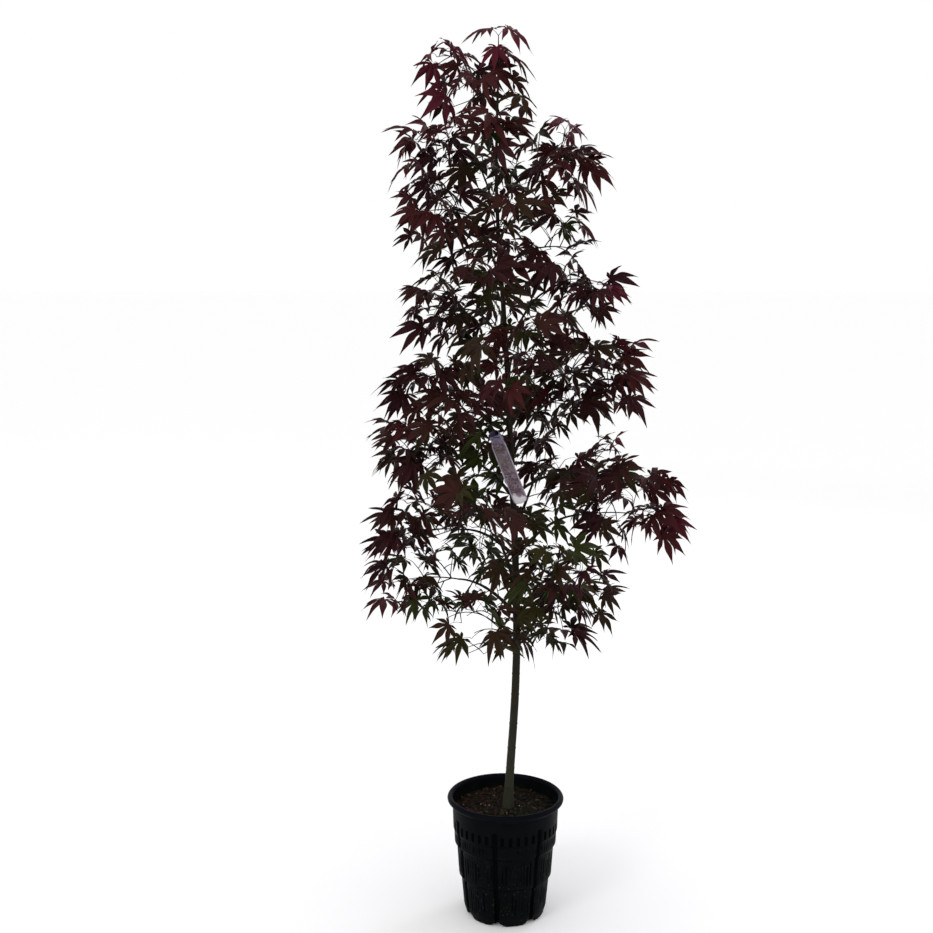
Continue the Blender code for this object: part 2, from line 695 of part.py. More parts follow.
def tag_strip(head):
    """Flat strip that hangs and leans, narrow at the loop and round at its lower end."""
    down = Vector((math.sin(TAG_LEAN), -math.sin(TAG_FORWARD), -math.cos(TAG_LEAN))).normalized()
    wide = down.cross(-Vector((0, 1, 0))).normalized()
    face_out = wide.cross(down)
    half, neck = TAG_WIDTH / 2, TAG_NECK_WIDTH / 2
    straight = TAG_LENGTH - TAG_ROUND
    outline = [(neck, -TAG_OVERLAP), (neck, TAG_OVERLAP), (half, TAG_SHOULDER)]
    for n in range(TAG_ROUND_STEPS + 1):
        angle = math.pi * n / TAG_ROUND_STEPS
        outline.append((half * math.cos(angle), straight + TAG_ROUND * math.sin(angle)))
    outline += [(-half, TAG_SHOULDER), (-neck, TAG_OVERLAP), (-neck, -TAG_OVERLAP)]
    verts = []
    for depth in (-0.5, 0.5):
        verts += [head + wide * x + down * y + face_out * depth * TAG_THICKNESS for x, y in outline]
    count = len(outline)
    back, front = list(range(count)), list(range(count, 2 * count))
    faces = [tuple(reversed(back)), tuple(front)]
    skin(faces, back, front)
    return verts, faces


def seat_height(bough_verts, point, along, lift, level):
    """How far above a point of a bough the top of a loop has to be to rest on the bough."""
    slope = math.tan(math.pi / TAG_LOOP_SIDES)
    needs = []
    for k in range(BOUGH_RINGS - 1):
        for i in range(BOUGH_SIDES):
            low, high = bough_verts[k * BOUGH_SIDES + i], bough_verts[(k + 1) * BOUGH_SIDES + i]
            for end in (-0.5, 0.0, 0.5):
                place = (end * TAG_LOOP_WIDTH - (low - point).dot(along)) / (high - low).dot(along)
                if 0 <= place <= 1:
                    corner = low.lerp(high, place) - point
                    needs.append(corner.dot(lift) + abs(corner.dot(level)) * slope)
    return max(needs)


def build_tag(bough_verts, bough_points, taken):
    """Blank plastic strip hung by a loop of its own over a bough."""
    spot = TAG_AT * (len(bough_points) - 1)
    k = int(spot)
    point = bough_points[k].lerp(bough_points[k + 1], spot - k)
    along = (bough_points[k + 1] - bough_points[k]).normalized()
    level = along.cross(UP).normalized()
    lift = level.cross(along)
    inner = TAG_LOOP_RADIUS - TAG_THICKNESS
    middle = point + lift * (seat_height(bough_verts, point, along, lift, level) + GAP - inner)
    head = middle - Vector((0, 1, 0)) * (TAG_LOOP_RADIUS - 1.5 * TAG_THICKNESS)
    tag = fuse("tag", [tag_loop(middle, along, lift, level), tag_strip(head)], "tag_plastic")
    taken.append(taken_object(tag))


def mass_slot(tier_name):
    """Colour of a mass: red at the top and on both sides, greener where the crown shades itself."""
    if tier_name in OLIVE_TIERS:
        return "leaf_olive"
    return "leaf_bronze" if tier_name in BRONZE_TIERS else "leaf_burgundy"


def build_limbs(taken):
    """Every bough first, so that the masses can keep clear of all of them."""
    masses = []
    for tier in TIERS:
        for side, reach in enumerate(tier.reaches):
            out = Matrix.Rotation(math.radians(tier.turn + 180 * side), 3, "Z") @ Vector((1, 0, 0))
            name = f"{tier.name}_{'ab'[side]}"
            if tier.boughs:
                verts, faces, points = build_bough("bough_" + name, tier, side, out)
                taken.append(taken_piece("bough_" + name, verts, faces))
                ahead = (points[-1] - points[-2]).normalized()
                start = points[-1] + ahead * GAP
                run = reach * (1 - BOUGH_SHARE)
                slope = ahead.z / math.hypot(ahead.x, ahead.y)
                mass = Mass("foliage_" + name, start, out, ahead, slope, run)
                if tier.name == TAG_TIER and side == 0:
                    tag_bough = verts, points
            else:
                root = bearing(tier.height, out, ROOT_SPAN * STICK_ROOT)
                start = trunk_centre(tier.height) + out * root
                slope = min(2 * tier.climbs[side] / (reach - LEAF_LENGTH) + STEM_FALL, STEEPEST_SPRAY)
                mass = Mass("foliage_" + name, start, out, out, slope, reach - root)
            masses.append((mass, mass_slot(tier.name)))
    build_tag(*tag_bough, taken)
    return masses


def build_foliage(masses, taken):
    """Grow and fuse each mass, and the leader on top of the trunk."""
    for number, (mass, slot) in enumerate(masses):
        rng = random.Random(SEED + 7 * number)
        fuse(mass.name, grow_mass(mass, rng, taken), slot)
    tip = trunk_centre(TRUNK_LINE[-1][0])
    leader = Mass("foliage_leader", tip + UP * GAP, Vector((1, 0, 0)), UP, 0, LEADER_SPACE)
    fuse(leader.name, grow_leader(leader, random.Random(SEED), taken), "leaf_burgundy")


def main():
    """Build the pot, what it holds and the whole plant."""
    clear_scene()
    build_pot()
    build_soil()
    taken = [taken_object(build_trunk())]
    masses = build_limbs(taken)
    build_foliage(masses, taken)


main()
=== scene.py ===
"""Potted Japanese maple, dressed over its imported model.

The pot, the potting mix, the trunk and boughs, the sprays of leaves and the blank hang tag are built
by one operator each, and the studio by another. Metres, +Z up, -Y towards the viewer.
"""

import math
import random
from collections import namedtuple

import bpy
import numpy as np
from bpy.props import FloatProperty, FloatVectorProperty, IntProperty, PointerProperty
from mathutils import Matrix, Vector, noise


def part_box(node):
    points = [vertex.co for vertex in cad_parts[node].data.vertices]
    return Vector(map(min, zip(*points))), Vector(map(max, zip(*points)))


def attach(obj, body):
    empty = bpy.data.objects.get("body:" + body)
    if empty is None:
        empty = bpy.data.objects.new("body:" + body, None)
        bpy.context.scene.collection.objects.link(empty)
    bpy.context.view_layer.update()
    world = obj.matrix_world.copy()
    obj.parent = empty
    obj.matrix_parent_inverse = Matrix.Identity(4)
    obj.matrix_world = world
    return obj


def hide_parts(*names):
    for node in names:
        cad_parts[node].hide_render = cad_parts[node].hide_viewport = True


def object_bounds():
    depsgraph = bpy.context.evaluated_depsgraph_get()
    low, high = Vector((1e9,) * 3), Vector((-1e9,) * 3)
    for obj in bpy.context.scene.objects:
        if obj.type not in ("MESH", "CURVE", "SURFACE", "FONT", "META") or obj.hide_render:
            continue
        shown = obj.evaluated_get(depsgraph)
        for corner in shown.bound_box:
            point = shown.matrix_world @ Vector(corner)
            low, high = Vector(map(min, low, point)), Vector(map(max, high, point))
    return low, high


bl_info = {
    "name": "Potted Japanese maple",
    "version": (1, 0, 0),
    "blender": (4, 5, 0),
    "location": "3D View > Sidebar > Maple",
    "description": "Builds a potted Japanese maple with a ribbed nursery pot and a plain studio",
    "category": "Add Mesh",
}

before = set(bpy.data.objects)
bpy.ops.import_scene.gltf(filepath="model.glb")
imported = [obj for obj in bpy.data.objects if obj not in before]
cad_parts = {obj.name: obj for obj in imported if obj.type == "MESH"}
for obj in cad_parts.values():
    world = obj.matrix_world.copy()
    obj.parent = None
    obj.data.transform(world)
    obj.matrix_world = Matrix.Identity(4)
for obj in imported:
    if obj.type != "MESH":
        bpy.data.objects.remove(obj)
CAD_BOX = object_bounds()
NODES = sorted(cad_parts)
FOLIAGE_NODES = [name for name in NODES if name.startswith("foliage_")]
BOUGH_NODES = [name for name in NODES if name.startswith("bough_")]
TAG_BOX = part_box("tag")

UP = Vector((0, 0, 1))
GAP = 0.0003
SEED = 31
SPRAY_SEED = 69

# Pot: its panels, where the first groove is, and its outside wall: height, radius, depth of the grooves
PANELS = 7
FIRST_GROOVE = math.radians(-101.5)
POT_WALL = (
    (0.000, 0.0935, 0.012),
    (0.020, 0.0995, 0.012),
    (0.096, 0.1065, 0.006),
    (0.099, 0.1118, 0.006),
    (0.175, 0.1168, 0.006),
    (0.179, 0.1222, 0.006),
    (0.210, 0.1235, 0.006),
    (0.213, 0.1255, 0.006),
    (0.240, 0.1264, 0.006),
    (0.251, 0.1268, 0.000),
    (0.273, 0.1275, 0.000),
)
# Heights of the ledges at the wall's steps, where the wall's material paints shade
POT_LEDGES = ((0.0955, 0.0995), (0.1745, 0.1795), (0.2095, 0.2135))
# Heights of the wall's rows, besides those at the steps and along the ribs
WALL_ROWS = (0.0, 0.0012, 0.004, 0.008, 0.014, 0.2150, 0.2170, 0.226, 0.2350, 0.2370, 0.2435, 0.2470, 0.262)
PANEL_PARTS = 12  # ribs stand at each twelfth of a panel, slots at each sixth
# Half widths, as shares of a panel: where each is at full depth, and where it ends
GROOVE_HALF = (0.022, 0.074)
RIB_HALF = (0.0195, 0.0250)
SLOT_HALF = (0.0315, 0.0370)
NOTCH_HALF = (0.03, 0.30)
GROOVE_COLUMNS = (0.014, 0.026, 0.038, 0.049, 0.072)
RIB_TIERS = ((0.022, 0.092), (0.103, 0.172), (0.183, 0.207))
RIB_END = 0.0058
RIB_TRIM = 0.26  # how much of a rib's height its ends may lack
SLOT_TIER = (0.2150, 0.2370)
SLOT_END = 0.0020
FOOT_TOP = 0.020
FOOT_ROUND = 0.0012
STEP_HALF = 0.0009
HIDDEN_SHARE = 0.80  # of the least depth, from which a slot or groove looks unlit
# Rolled lip and inside: height, radius
POT_LIP = (
    (0.2745, 0.1284), (0.2762, 0.1304), (0.2782, 0.1334), (0.2804, 0.1366), (0.2824, 0.1387),
    (0.2846, 0.1397), (0.2865, 0.1400), (0.2886, 0.1396), (0.2906, 0.1386), (0.2928, 0.1366),
    (0.2940, 0.1340), (0.2936, 0.1312), (0.2920, 0.1288), (0.2890, 0.1268), (0.2840, 0.1258),
    (0.2700, 0.1248), (0.2555, 0.1240), (0.2490, 0.1175), (0.0045, 0.0800),
)
# Underside of the pot, from its rim inwards: radius against the rim's, and height, or 0 for the rim's own
UNDERSIDE = ((0.965, 0.0), (0.93, 0.003), (0.60, 0.0035), (0.18, 0.0035))
SOIL_TOP = 0.261
SOIL_RADIUS = 0.1236
SOIL_RISE = 0.030  # rise of the mix towards the back of the pot, per metre
HEAP_HEIGHT = 0.0022
HEAP_WIDTH = 0.026
SINK_DEPTH = 0.0030  # how far the mix sinks towards the wall, and between which distances
SINK_FROM = 0.100
SINK_WIDTH = 0.024
CLEAR_OF_TRUNK = 0.019
# Side of the bed of mix under its rim: radius against the rim's, height
MIX_SKIRT = ((0.648, 0.0048), (0.947, 0.249), (0.999, 0.2556))

# What lies on the mix: setting of its colour, number against the chips, sizes, lift and share on the left
Crumbs = namedtuple("Crumbs", "piece material setting share sizes lift left_share")
CRUMBS = (
    Crumbs("mix_chips", "bark_chips", "chip", 1.0, (0.0025, 0.0085), 0.3, 0.5),
    Crumbs("mix_red_chips", "red_chips", "red_chip", 0.22, (0.003, 0.009), 0.4, 0.9),
    Crumbs("mix_mossy_crumbs", "mossy_crumbs", "crumb", 0.40, (0.0025, 0.007), 0.4, 0.4),
    Crumbs("mix_fibres", "tan_fibres", "fibre", 0.07, (0.004, 0.009), 0.6, 0.4),
    Crumbs("mix_flecks", "mineral_flecks", "fleck", 0.030, (0.0020, 0.0042), 0.7, 0.5),
)

# Trunk: height, offset to the viewer's right, offset away from the viewer
TRUNK_LINE = (
    (SOIL_TOP + GAP, 0.006, 0.000),
    (0.676, 0.025, 0.006),
    (1.311, 0.000, -0.004),
    (1.721, -0.026, 0.004),
    (2.006, -0.023, 0.000),
)
TRUNK_FOOT_X = TRUNK_LINE[0][1]
TRUNK_LOW_RADIUS = 0.01025
TRUNK_TIP_RADIUS = 0.00225
TRUNK_TAPER_POWER = 1.25
FLARE_RADIUS = 0.0048
FLARE_HEIGHT = 0.028
ROOTS = 5
ROOT_SWELL = 0.30
FIRST_KNUCKLE = 0.315
KNUCKLE_GAPS = (0.045, 0.085)
KNUCKLE_WIDTH = 0.0022
KNEE_HEIGHT = 0.0010  # swelling of the trunk where limbs leave it
KNEE_WIDTH = 0.012
BOUGH_THICKNESS = 0.52
BOUGH_STEPS = 24
COLLAR_SHARE = 0.45
COLLAR_LENGTH = 0.010
TWIG_RADIUS = 0.0019
BOUGH_SHARE = 0.38
BOUGH_BEND = 0.10
ROOT_SPAN = 3
STICK_ROOT = 0.0015
STEM_END = 0.0008
SIDE_TWIG_RADII = (0.00135, 0.00075)
FINE_TWIG_RADII = (0.0009, 0.0006)
STALK_RADII = (0.00085, 0.00055, 0.00050, 0.00040)
STEEPEST_SPRAY = 1.8
STEM_FALL = 0.30
SPACE_ABOVE = 0.100
SPACE_BELOW = 0.150
STEM_SHORTER = 0.070  # a stem ends this far inside its spray, to leave room for leaves
SHORTEST_STEM = 0.026
# Forks of a spray's stem: turn, slope where it parts and length against the stem
FORKS = ((20, 1.35, 0.80), (-24, -0.35, 0.70), (-6, 0.60, 0.50))
FORK_RUNS = (0.115, 0.140, 0.190)  # a stem is at least this long where it has the fork
LEAF_REACH = 0.082

# Opposite limbs up the trunk: height, turn of the first limb from the viewer's right, then for it and for
# its opposite the reach and the climb. Where boughs is false, sprays grow on the trunk itself.
Tier = namedtuple("Tier", "name height turn reaches climbs boughs")
TIERS = (
    Tier("low_front", 0.671, -142, (0.270, 0.230), (0.090, 0.060), False),
    Tier("low_side", 0.746, 176, (0.364, 0.250), (0.075, 0.050), True),
    Tier("skirt_front", 0.811, -62, (0.290, 0.300), (0.060, 0.100), True),
    Tier("skirt_side", 0.886, 187, (0.342, 0.418), (0.060, 0.090), True),
    Tier("waist_front", 0.941, -116, (0.300, 0.310), (0.070, 0.110), True),
    Tier("waist_side", 1.031, 170, (0.338, 0.350), (0.080, 0.050), True),
    Tier("tag", 1.121, -136, (0.285, 0.300), (0.080, 0.110), True),
    Tier("middle_side", 1.196, 192, (0.292, 0.332), (0.075, 0.110), True),
    Tier("middle_front", 1.281, -78, (0.265, 0.270), (0.080, 0.120), True),
    Tier("shoulder_side", 1.371, 168, (0.250, 0.285), (0.085, 0.130), True),
    Tier("shoulder_front", 1.461, -108, (0.230, 0.235), (0.070, 0.110), False),
    Tier("upper_side", 1.531, 188, (0.240, 0.240), (0.140, 0.065), True),
    Tier("upper_front", 1.606, -70, (0.195, 0.200), (0.070, 0.110), False),
    Tier("high_side", 1.676, 174, (0.240, 0.252), (0.150, 0.100), True),
    Tier("high_front", 1.790, -112, (0.165, 0.150), (0.070, 0.110), False),
    Tier("top_side", 1.915, 184, (0.205, 0.110), (0.130, 0.060), False),
)

# Leaf: lobes as turn from its axis and length against the middle one
LOBES = ((-114, 0.40), (-76, 0.72), (-37, 0.93), (0, 1.00), (37, 0.93), (76, 0.72), (114, 0.40))
# One lobe from its foot to its tip: share of its length, half width against its length
LOBE_OUTLINE = (
    (0.00, 0.000), (0.22, 0.072), (0.32, 0.099), (0.41, 0.127), (0.50, 0.138),
    (0.60, 0.121), (0.72, 0.078), (0.86, 0.033), (1.00, 0.000),
)
WEB_AT = 1  # outline points in which neighbouring lobes meet
LEAF_KINDS = 9
MOST_LEAVES = 4000
LEAF_TRIES = 7  # attitudes tried for one leaf
STALK_TURN = 18  # how far a leaf's stalk may stray from its bud's way, in degrees, and then its blade
STALK_RISE = 14
BLADE_TURN = 24
BLADE_DROP = 40
LOWEST_BLADE = -52
STALK_SIZES = (0.75, 1.25)
BLADE_SIZES = (0.66, 1.06)
BLADE_MIDDLE = 0.3  # middle of a blade, against its length
VEIL_WIDTH = 0.038  # leaves closer than this, seen from the front or a side, hide one another
MOST_IN_LINE = (2, 7)  # leaves that may hide one another, from the front and from a side
INNER_WIDTH = 0.13  # one more leaf in line this near to the trunk, up to this height
INNER_TOP = 1.45
LIGHT_TRIES = 9  # directions that a side twig has to choose from
LIGHT_TURN = 42
LEAF_FORWARD = 0.030  # middle of the end leaf beyond its twig
NEIGHBOURHOOD = 0.07
# Weights in the choice of a twig's way: leaves in line from a side, leaves near, a place barred or full
SIDE_SHADE = 0.35
NEAR_SHADE = 0.6
BARRED = 9
WANTED = 4
LONGEST_TWIG = 0.088
PAIRED_TWIG = 0.038  # a side twig at least this long has a second pair of leaves
FORKED_TWIG = 0.052  # and at least this long, a pair of finer twigs
# Spurs: where they grow along a bough, how far they reach, and on the trunk from where to where
SPUR_PLACES = (0.26, 0.42, 0.58, 0.74, 0.90)
SPUR_ROOM = 0.11
WIDEST_SPUR = 0.16
SPUR_SPAN = (0.70, 1.98)
SPUR_GAPS = (0.045, 0.070)
FRONT_SHARE = 0.6  # leaves whose blades turn to the front or back, the others turn to the sides
BLADE_TURNS = (-36, 0, 36)
BLADE_ROLL = 20
CROWN_FOOT = 0.632  # no leaf hangs lower

# Seen from the front through the crown, on the trunk's plane: right, height, radius of each opening
OPENINGS = (
    (-0.03, 2.05, 0.035), (-0.16, 2.08, 0.030), (0.08, 1.94, 0.030), (-0.21, 1.91, 0.030),
    (0.20, 1.86, 0.030), (0.24, 1.67, 0.040), (0.09, 1.61, 0.025), (0.21, 1.57, 0.030),
    (-0.24, 1.56, 0.030), (0.28, 1.44, 0.025), (-0.27, 1.37, 0.030), (0.34, 1.15, 0.060),
    (0.14, 1.13, 0.030), (-0.06, 0.93, 0.020), (0.33, 0.88, 0.040), (-0.22, 0.86, 0.020),
    (-0.14, 0.83, 0.025), (-0.08, 0.71, 0.045),
)
# Seen in the same way, places where the crown is full: right, height
FULL_PLACES = (
    (-0.18, 1.82), (0.13, 1.81), (0.21, 1.50), (-0.22, 1.48), (0.02, 1.27), (0.23, 1.26),
    (-0.25, 1.09), (0.16, 1.03), (-0.28, 0.91), (0.17, 0.79), (-0.19, 0.79),
)
FULL_RADIUS = 0.050
TAG_ROOM = (0.035, 0.020, 0.040, 0.045)  # kept free of leaves round the tag: sides, front, below, above
OUTWARD_ROOM = 0.018  # how far leaves may pass their solid's box outwards
LONGER_SPRAYS = {"foliage_top_side_a": 0.045, "foliage_low_side_a": 0.030}
SIDEWAYS_ROOM = 0.030
UPRIGHT_ROOM = 0.034
PAST_SIDES = 0.012  # how far leaves may pass the whole model's box, at its sides and at its top
PAST_TOP = 0.002
HALF_CROWN = 0.34  # half the crown's width at its foot, and how much less at its top
HALF_TAPER = 0.17
# Redness: gain outwards, upwards, at the crown's foot and along a spray, where it starts, and its spread
RED_OUTWARDS = 0.62
RED_UPWARDS = 0.42
RED_AT_FOOT = 0.12
RED_ALONG = 0.14
RED_START = -0.03
RED_SPREAD = 0.12
LEAF_TONES = ("moss", "olive", "bronze", "umber", "plum", "burgundy", "wine")
TONE_LIMITS = (0.28, 0.41, 0.51, 0.59, 0.75, 0.92)  # redness from which the next tone starts

LEADER_LENGTH = 0.054
# Leaves of the leading shoot: third of the shoot, turn, rise of the stalk, rise of the blade, size
LEADER_LEAVES = (
    (3, 168, 42, -4, 0.95), (3, -14, 40, -30, 1.00), (1, -100, 20, -48, 0.75), (1, 84, 20, -44, 0.80),
    (1, -12, -6, -32, 0.95),
)

TAG_WIDTH = 0.033
TAG_LENGTH = 0.160
TAG_THICKNESS = 0.0009
TAG_LOOP_RADIUS = 0.0140
TAG_LOOP_WIDTH = 0.022
TAG_NECK_WIDTH = 0.0250
TAG_OVERLAP = 0.006  # the strip starts this far above the middle of its loop
TAG_WEAR = 0.0002  # how far the loop's edges are rounded off
TAG_SHOULDER = 0.022
TAG_LEAN = math.radians(22)
TAG_FORWARD = math.radians(4)
TAG_ROUND = 0.010
TAG_TIER = "tag"
TAG_AT = 0.42

EYE = Vector((0.0, -3.05, 1.548))
AIM = Vector((-0.094, 0.0, 1.093))
LENS = 51.13
SENSOR_WIDTH = 36.0
FLOOR_RADII = (0.02, 0.5, 1.5, 4, 12, 40, 90)
FLOOR_LEVEL = -0.0006
# Lamps: place, what each lights, size, power against the key light's, colour
LAMPS = {
    "key_lamp": ((-2.6, -3.4, 3.9), (0, 0, 1.1), 1.8, 1.0, (1.0, 0.98, 0.96)),
    "rim_lamp": ((2.4, 2.8, 3.8), (0, 0, 1.2), 1.6, 0.8, (0.86, 0.88, 1.0)),
}

Bough = namedtuple("Bough", "name points radius out")
Spray = namedtuple("Spray", "node start out slope run bare")


def colour_value(name, description, default):
    """Colour that a user can change."""
    return FloatVectorProperty(
        name=name, description=description, subtype="COLOR", size=3, min=0.0, max=1.0, default=default
    )


def length_value(name, description, default, most):
    """Length that a user can change."""
    return FloatProperty(
        name=name, description=description, unit="LENGTH", min=0.0, max=most, default=default
    )


def share_value(name, description, default):
    """Share from nothing to all that a user can change."""
    return FloatProperty(
        name=name, description=description, subtype="FACTOR", min=0.0, max=1.0, default=default
    )


class MaplePot(bpy.types.PropertyGroup):
    """Sizes and colours of the nursery pot"""

    plastic: colour_value("Plastic", "Colour of the moulded wall", (0.0017, 0.0023, 0.0028))
    # The lip's colour is partly scuffs and partly painted sheen on the top of the roll
    lip: colour_value("Lip", "Colour of the scuffed rolled lip", (0.0022, 0.0024, 0.0048))
    dust: colour_value("Dust", "Colour of the dried splashes", (0.036, 0.038, 0.025))
    film: colour_value("Green film", "Colour of the film inside, above the mix", (0.0110, 0.0150, 0.0080))
    slot_depth: length_value("Slot depth", "Depth of the short upright slots", 0.0035, 0.005)
    rib_depth: length_value("Rib depth", "Depth between the fine ribs", 0.0018, 0.003)
    foot_notch: length_value("Foot notch", "Height of the notches between the feet", 0.0125, 0.015)
    dusty: share_value("Dustiness", "How much of the wall is splashed", 0.40)


class MaplePottingMix(bpy.types.PropertyGroup):
    """Sizes and colours of the potting mix"""

    peat: colour_value("Peat", "Colour of the fine mix", (0.0034, 0.0026, 0.0016))
    chip: colour_value("Bark chips", "Colour of the bark chips", (0.0078, 0.0054, 0.0032))
    red_chip: colour_value("Red chips", "Colour of the fresh bark chips", (0.0250, 0.0075, 0.0036))
    crumb: colour_value("Mossy crumbs", "Colour of the mossy crumbs", (0.0105, 0.0104, 0.0036))
    moss: colour_value("Moss", "Colour of the moss on the mix", (0.0130, 0.0150, 0.0060))
    fibre: colour_value("Fibres", "Colour of the fibres", (0.0400, 0.0250, 0.0130))
    fleck: colour_value("Flecks", "Colour of the mineral flecks", (0.340, 0.330, 0.300))
    roughness_height: length_value("Unevenness", "Height of the lumps", 0.0028, 0.006)
    chips: IntProperty(name="Chips", description="Number of bark chips", min=0, max=4000, default=1500)


class MapleBark(bpy.types.PropertyGroup):
    """Relief and colours of the trunk, boughs and twigs"""

    foot: colour_value("Foot", "Colour of the trunk just above the mix", (0.0330, 0.0370, 0.0235))
    bark: colour_value("Bark", "Colour of the lower trunk", (0.0150, 0.0145, 0.0092))
    shaded: colour_value("Shaded bark", "Colour of the trunk in the crown", (0.0100, 0.0104, 0.0052))
    warm: colour_value("Warm patches", "Colour of the brown patches", (0.0190, 0.0110, 0.0075))
    pore: colour_value("Pores", "Colour of the pale pores", (0.050, 0.046, 0.034))
    # The cracks' colour is partly their own and partly painted shade in them
    crack: colour_value("Cracks", "Colour of the fine cracks", (0.0050, 0.0042, 0.0030))
    twig: colour_value("Twigs", "Colour of the young wood", (0.0120, 0.0075, 0.0080))
    relief: length_value("Relief", "Height of the ridges on the bark", 0.00030, 0.001)
    knuckle: length_value("Knuckles", "Height of the rings where leaves grew", 0.00065, 0.002)


class MapleLeaves(bpy.types.PropertyGroup):
    """Sizes and colours of the leaves"""

    length: length_value("Leaf length", "Length of a leaf's middle lobe", 0.077, 0.082)
    stalk: length_value("Stalk length", "Length of a leaf's stalk", 0.032, 0.06)
    spacing: length_value("Node spacing", "Distance between pairs of buds on a stem", 0.036, 0.08)
    nearest: length_value("Nearest leaf", "Least distance between the hearts of two leaves", 0.036, 0.06)
    fold: share_value("Fold", "How far a lobe is folded along its midrib", 0.38)
    fall: share_value("Fall", "How far a lobe's tip hangs below its foot's line, against its length", 0.17)
    wine: colour_value("Wine", "Brightest red leaves", (0.0620, 0.0090, 0.0150))
    burgundy: colour_value("Burgundy", "Red leaves of the outside", (0.0410, 0.0092, 0.0090))
    plum: colour_value("Plum", "Dark leaves of the outside", (0.0265, 0.0078, 0.0084))
    umber: colour_value("Umber", "Brown leaves", (0.0300, 0.0104, 0.0080))
    bronze: colour_value("Bronze", "Leaves between red and green", (0.0240, 0.0132, 0.0064))
    olive: colour_value("Olive", "Shaded leaves", (0.0235, 0.0202, 0.0060))
    moss: colour_value("Moss", "Greenest leaves, by the trunk", (0.0205, 0.0260, 0.0050))
    stalks: colour_value("Stalks", "Colour of the leaf stalks", (0.0230, 0.0075, 0.0095))


class MapleTag(bpy.types.PropertyGroup):
    """Colours of the blank hang tag"""

    face: colour_value("Face", "Colour of the faded strip", (0.250, 0.190, 0.250))
    blush: colour_value("Blush", "Colour of its darker blotches", (0.085, 0.036, 0.045))
    head: colour_value("Head", "Colour of the loop", (0.150, 0.140, 0.260))
    edge: colour_value("Edge", "Colour of the scuffed edges", (0.330, 0.290, 0.360))
    stain: colour_value("Stain", "Colour of the speckles", (0.018, 0.010, 0.014))
    tinge: colour_value("Tinge", "Colour of the olive tinge below the loop", (0.060, 0.066, 0.034))
    end: colour_value("Lower end", "Colour of the pale end", (0.700, 0.670, 0.700))
    bow: length_value("Bow", "How far the strip bows forward", 0.0030, 0.01)


class MapleStage(bpy.types.PropertyGroup):
    """Floor and light of the studio"""

    floor: colour_value("Floor", "Colour of the floor", (0.92, 0.92, 0.925))
    surround: FloatProperty(
        name="Surround", description="Strength of the light from all round", min=0.0, max=3.0, default=1.0
    )
    key: FloatProperty(
        name="Key light", description="Power of the main lamp", unit="POWER",
        min=0.0, max=600.0, default=50.0,
    )


SETTINGS = {
    "maple_pot": MaplePot,
    "maple_mix": MaplePottingMix,
    "maple_bark": MapleBark,
    "maple_leaves": MapleLeaves,
    "maple_tag": MapleTag,
    "maple_stage": MapleStage,
}


# Shader groups


def add_node(tree, kind, inputs=None, **values):
    """Node with its values set and its inputs set or linked."""
    made = tree.nodes.new(kind)
    for key, value in values.items():
        setattr(made, key, value)
    for key, value in (inputs or {}).items():
        if isinstance(value, bpy.types.NodeSocket):
            tree.links.new(value, made.inputs[key])
        else:
            made.inputs[key].default_value = value
    return made


def formula(tree, operation, *terms):
    """Output of a maths node over numbers and sockets."""
    return add_node(tree, "ShaderNodeMath", dict(enumerate(terms)), operation=operation).outputs[0]


def product(tree, first, second):
    """One value times another."""
    return formula(tree, "MULTIPLY", first, second)


def spread(tree, value, low, high, to_low=0.0, to_high=1.0):
    """Value stretched from one range onto another and held inside it."""
    sockets = {0: value, 1: low, 2: high, 3: to_low, 4: to_high}
    return add_node(tree, "ShaderNodeMapRange", sockets).outputs[0]


def blend(tree, mask, first, second):
    """Colour that goes from the first to the second where the mask does."""
    made = add_node(tree, "ShaderNodeMix", data_type="RGBA")
    for socket, value in (("Factor_Float", mask), ("A_Color", first), ("B_Color", second)):
        target = next(s for s in made.inputs if s.identifier == socket)
        if isinstance(value, bpy.types.NodeSocket):
            tree.links.new(value, target)
        else:
            target.default_value = (*value, 1) if socket != "Factor_Float" else value
    return next(s for s in made.outputs if s.identifier == "Result_Color")


def mottle(tree, mask, colour, dark, light):
    """Colour that goes from a darker to a lighter shade of itself where the mask does."""
    return blend(tree, mask, [dark * c for c in colour], [light * c for c in colour])


def places(tree, stretch=(1, 1, 1)):
    """Coordinates in metres, stretched along each axis."""
    where = tree.nodes.new("ShaderNodeTexCoord").outputs["Object"]
    return add_node(tree, "ShaderNodeMapping", {"Vector": where, "Scale": stretch}).outputs[0]


def height_of(tree):
    """Height above the ground, in metres."""
    where = tree.nodes.new("ShaderNodeTexCoord").outputs["Object"]
    return add_node(tree, "ShaderNodeSeparateXYZ", {0: where}).outputs["Z"]


def cloud(tree, where, scale, detail=4.0, roughness=0.55):
    """Noise from 0 to 1."""
    sockets = {"Vector": where, "Scale": scale, "Detail": detail, "Roughness": roughness}
    return add_node(tree, "ShaderNodeTexNoise", sockets).outputs["Fac"]


def start_group(name, inputs, outputs):
    """Empty shader group with number inputs, its defaults and number outputs."""
    group = bpy.data.node_groups.new(name, "ShaderNodeTree")
    for label, default in inputs:
        socket = group.interface.new_socket(name=label, in_out="INPUT", socket_type="NodeSocketFloat")
        socket.default_value = default
    for label in outputs:
        group.interface.new_socket(name=label, in_out="OUTPUT", socket_type="NodeSocketFloat")
    return group, group.nodes.new("NodeGroupInput").outputs, group.nodes.new("NodeGroupOutput").inputs


def grain_group():
    """Fine grain of a moulded or grown surface, with a broader shade over it."""
    inputs = (("Grain Scale", 900.0), ("Shade Scale", 40.0))
    group, given, out = start_group("Fine grain", inputs, ("Height", "Shade"))
    where = places(group)
    group.links.new(cloud(group, where, given["Grain Scale"], 3.0), out["Height"])
    group.links.new(spread(group, cloud(group, where, given["Shade Scale"], 5.0), 0.3, 0.7), out["Shade"])
    return group


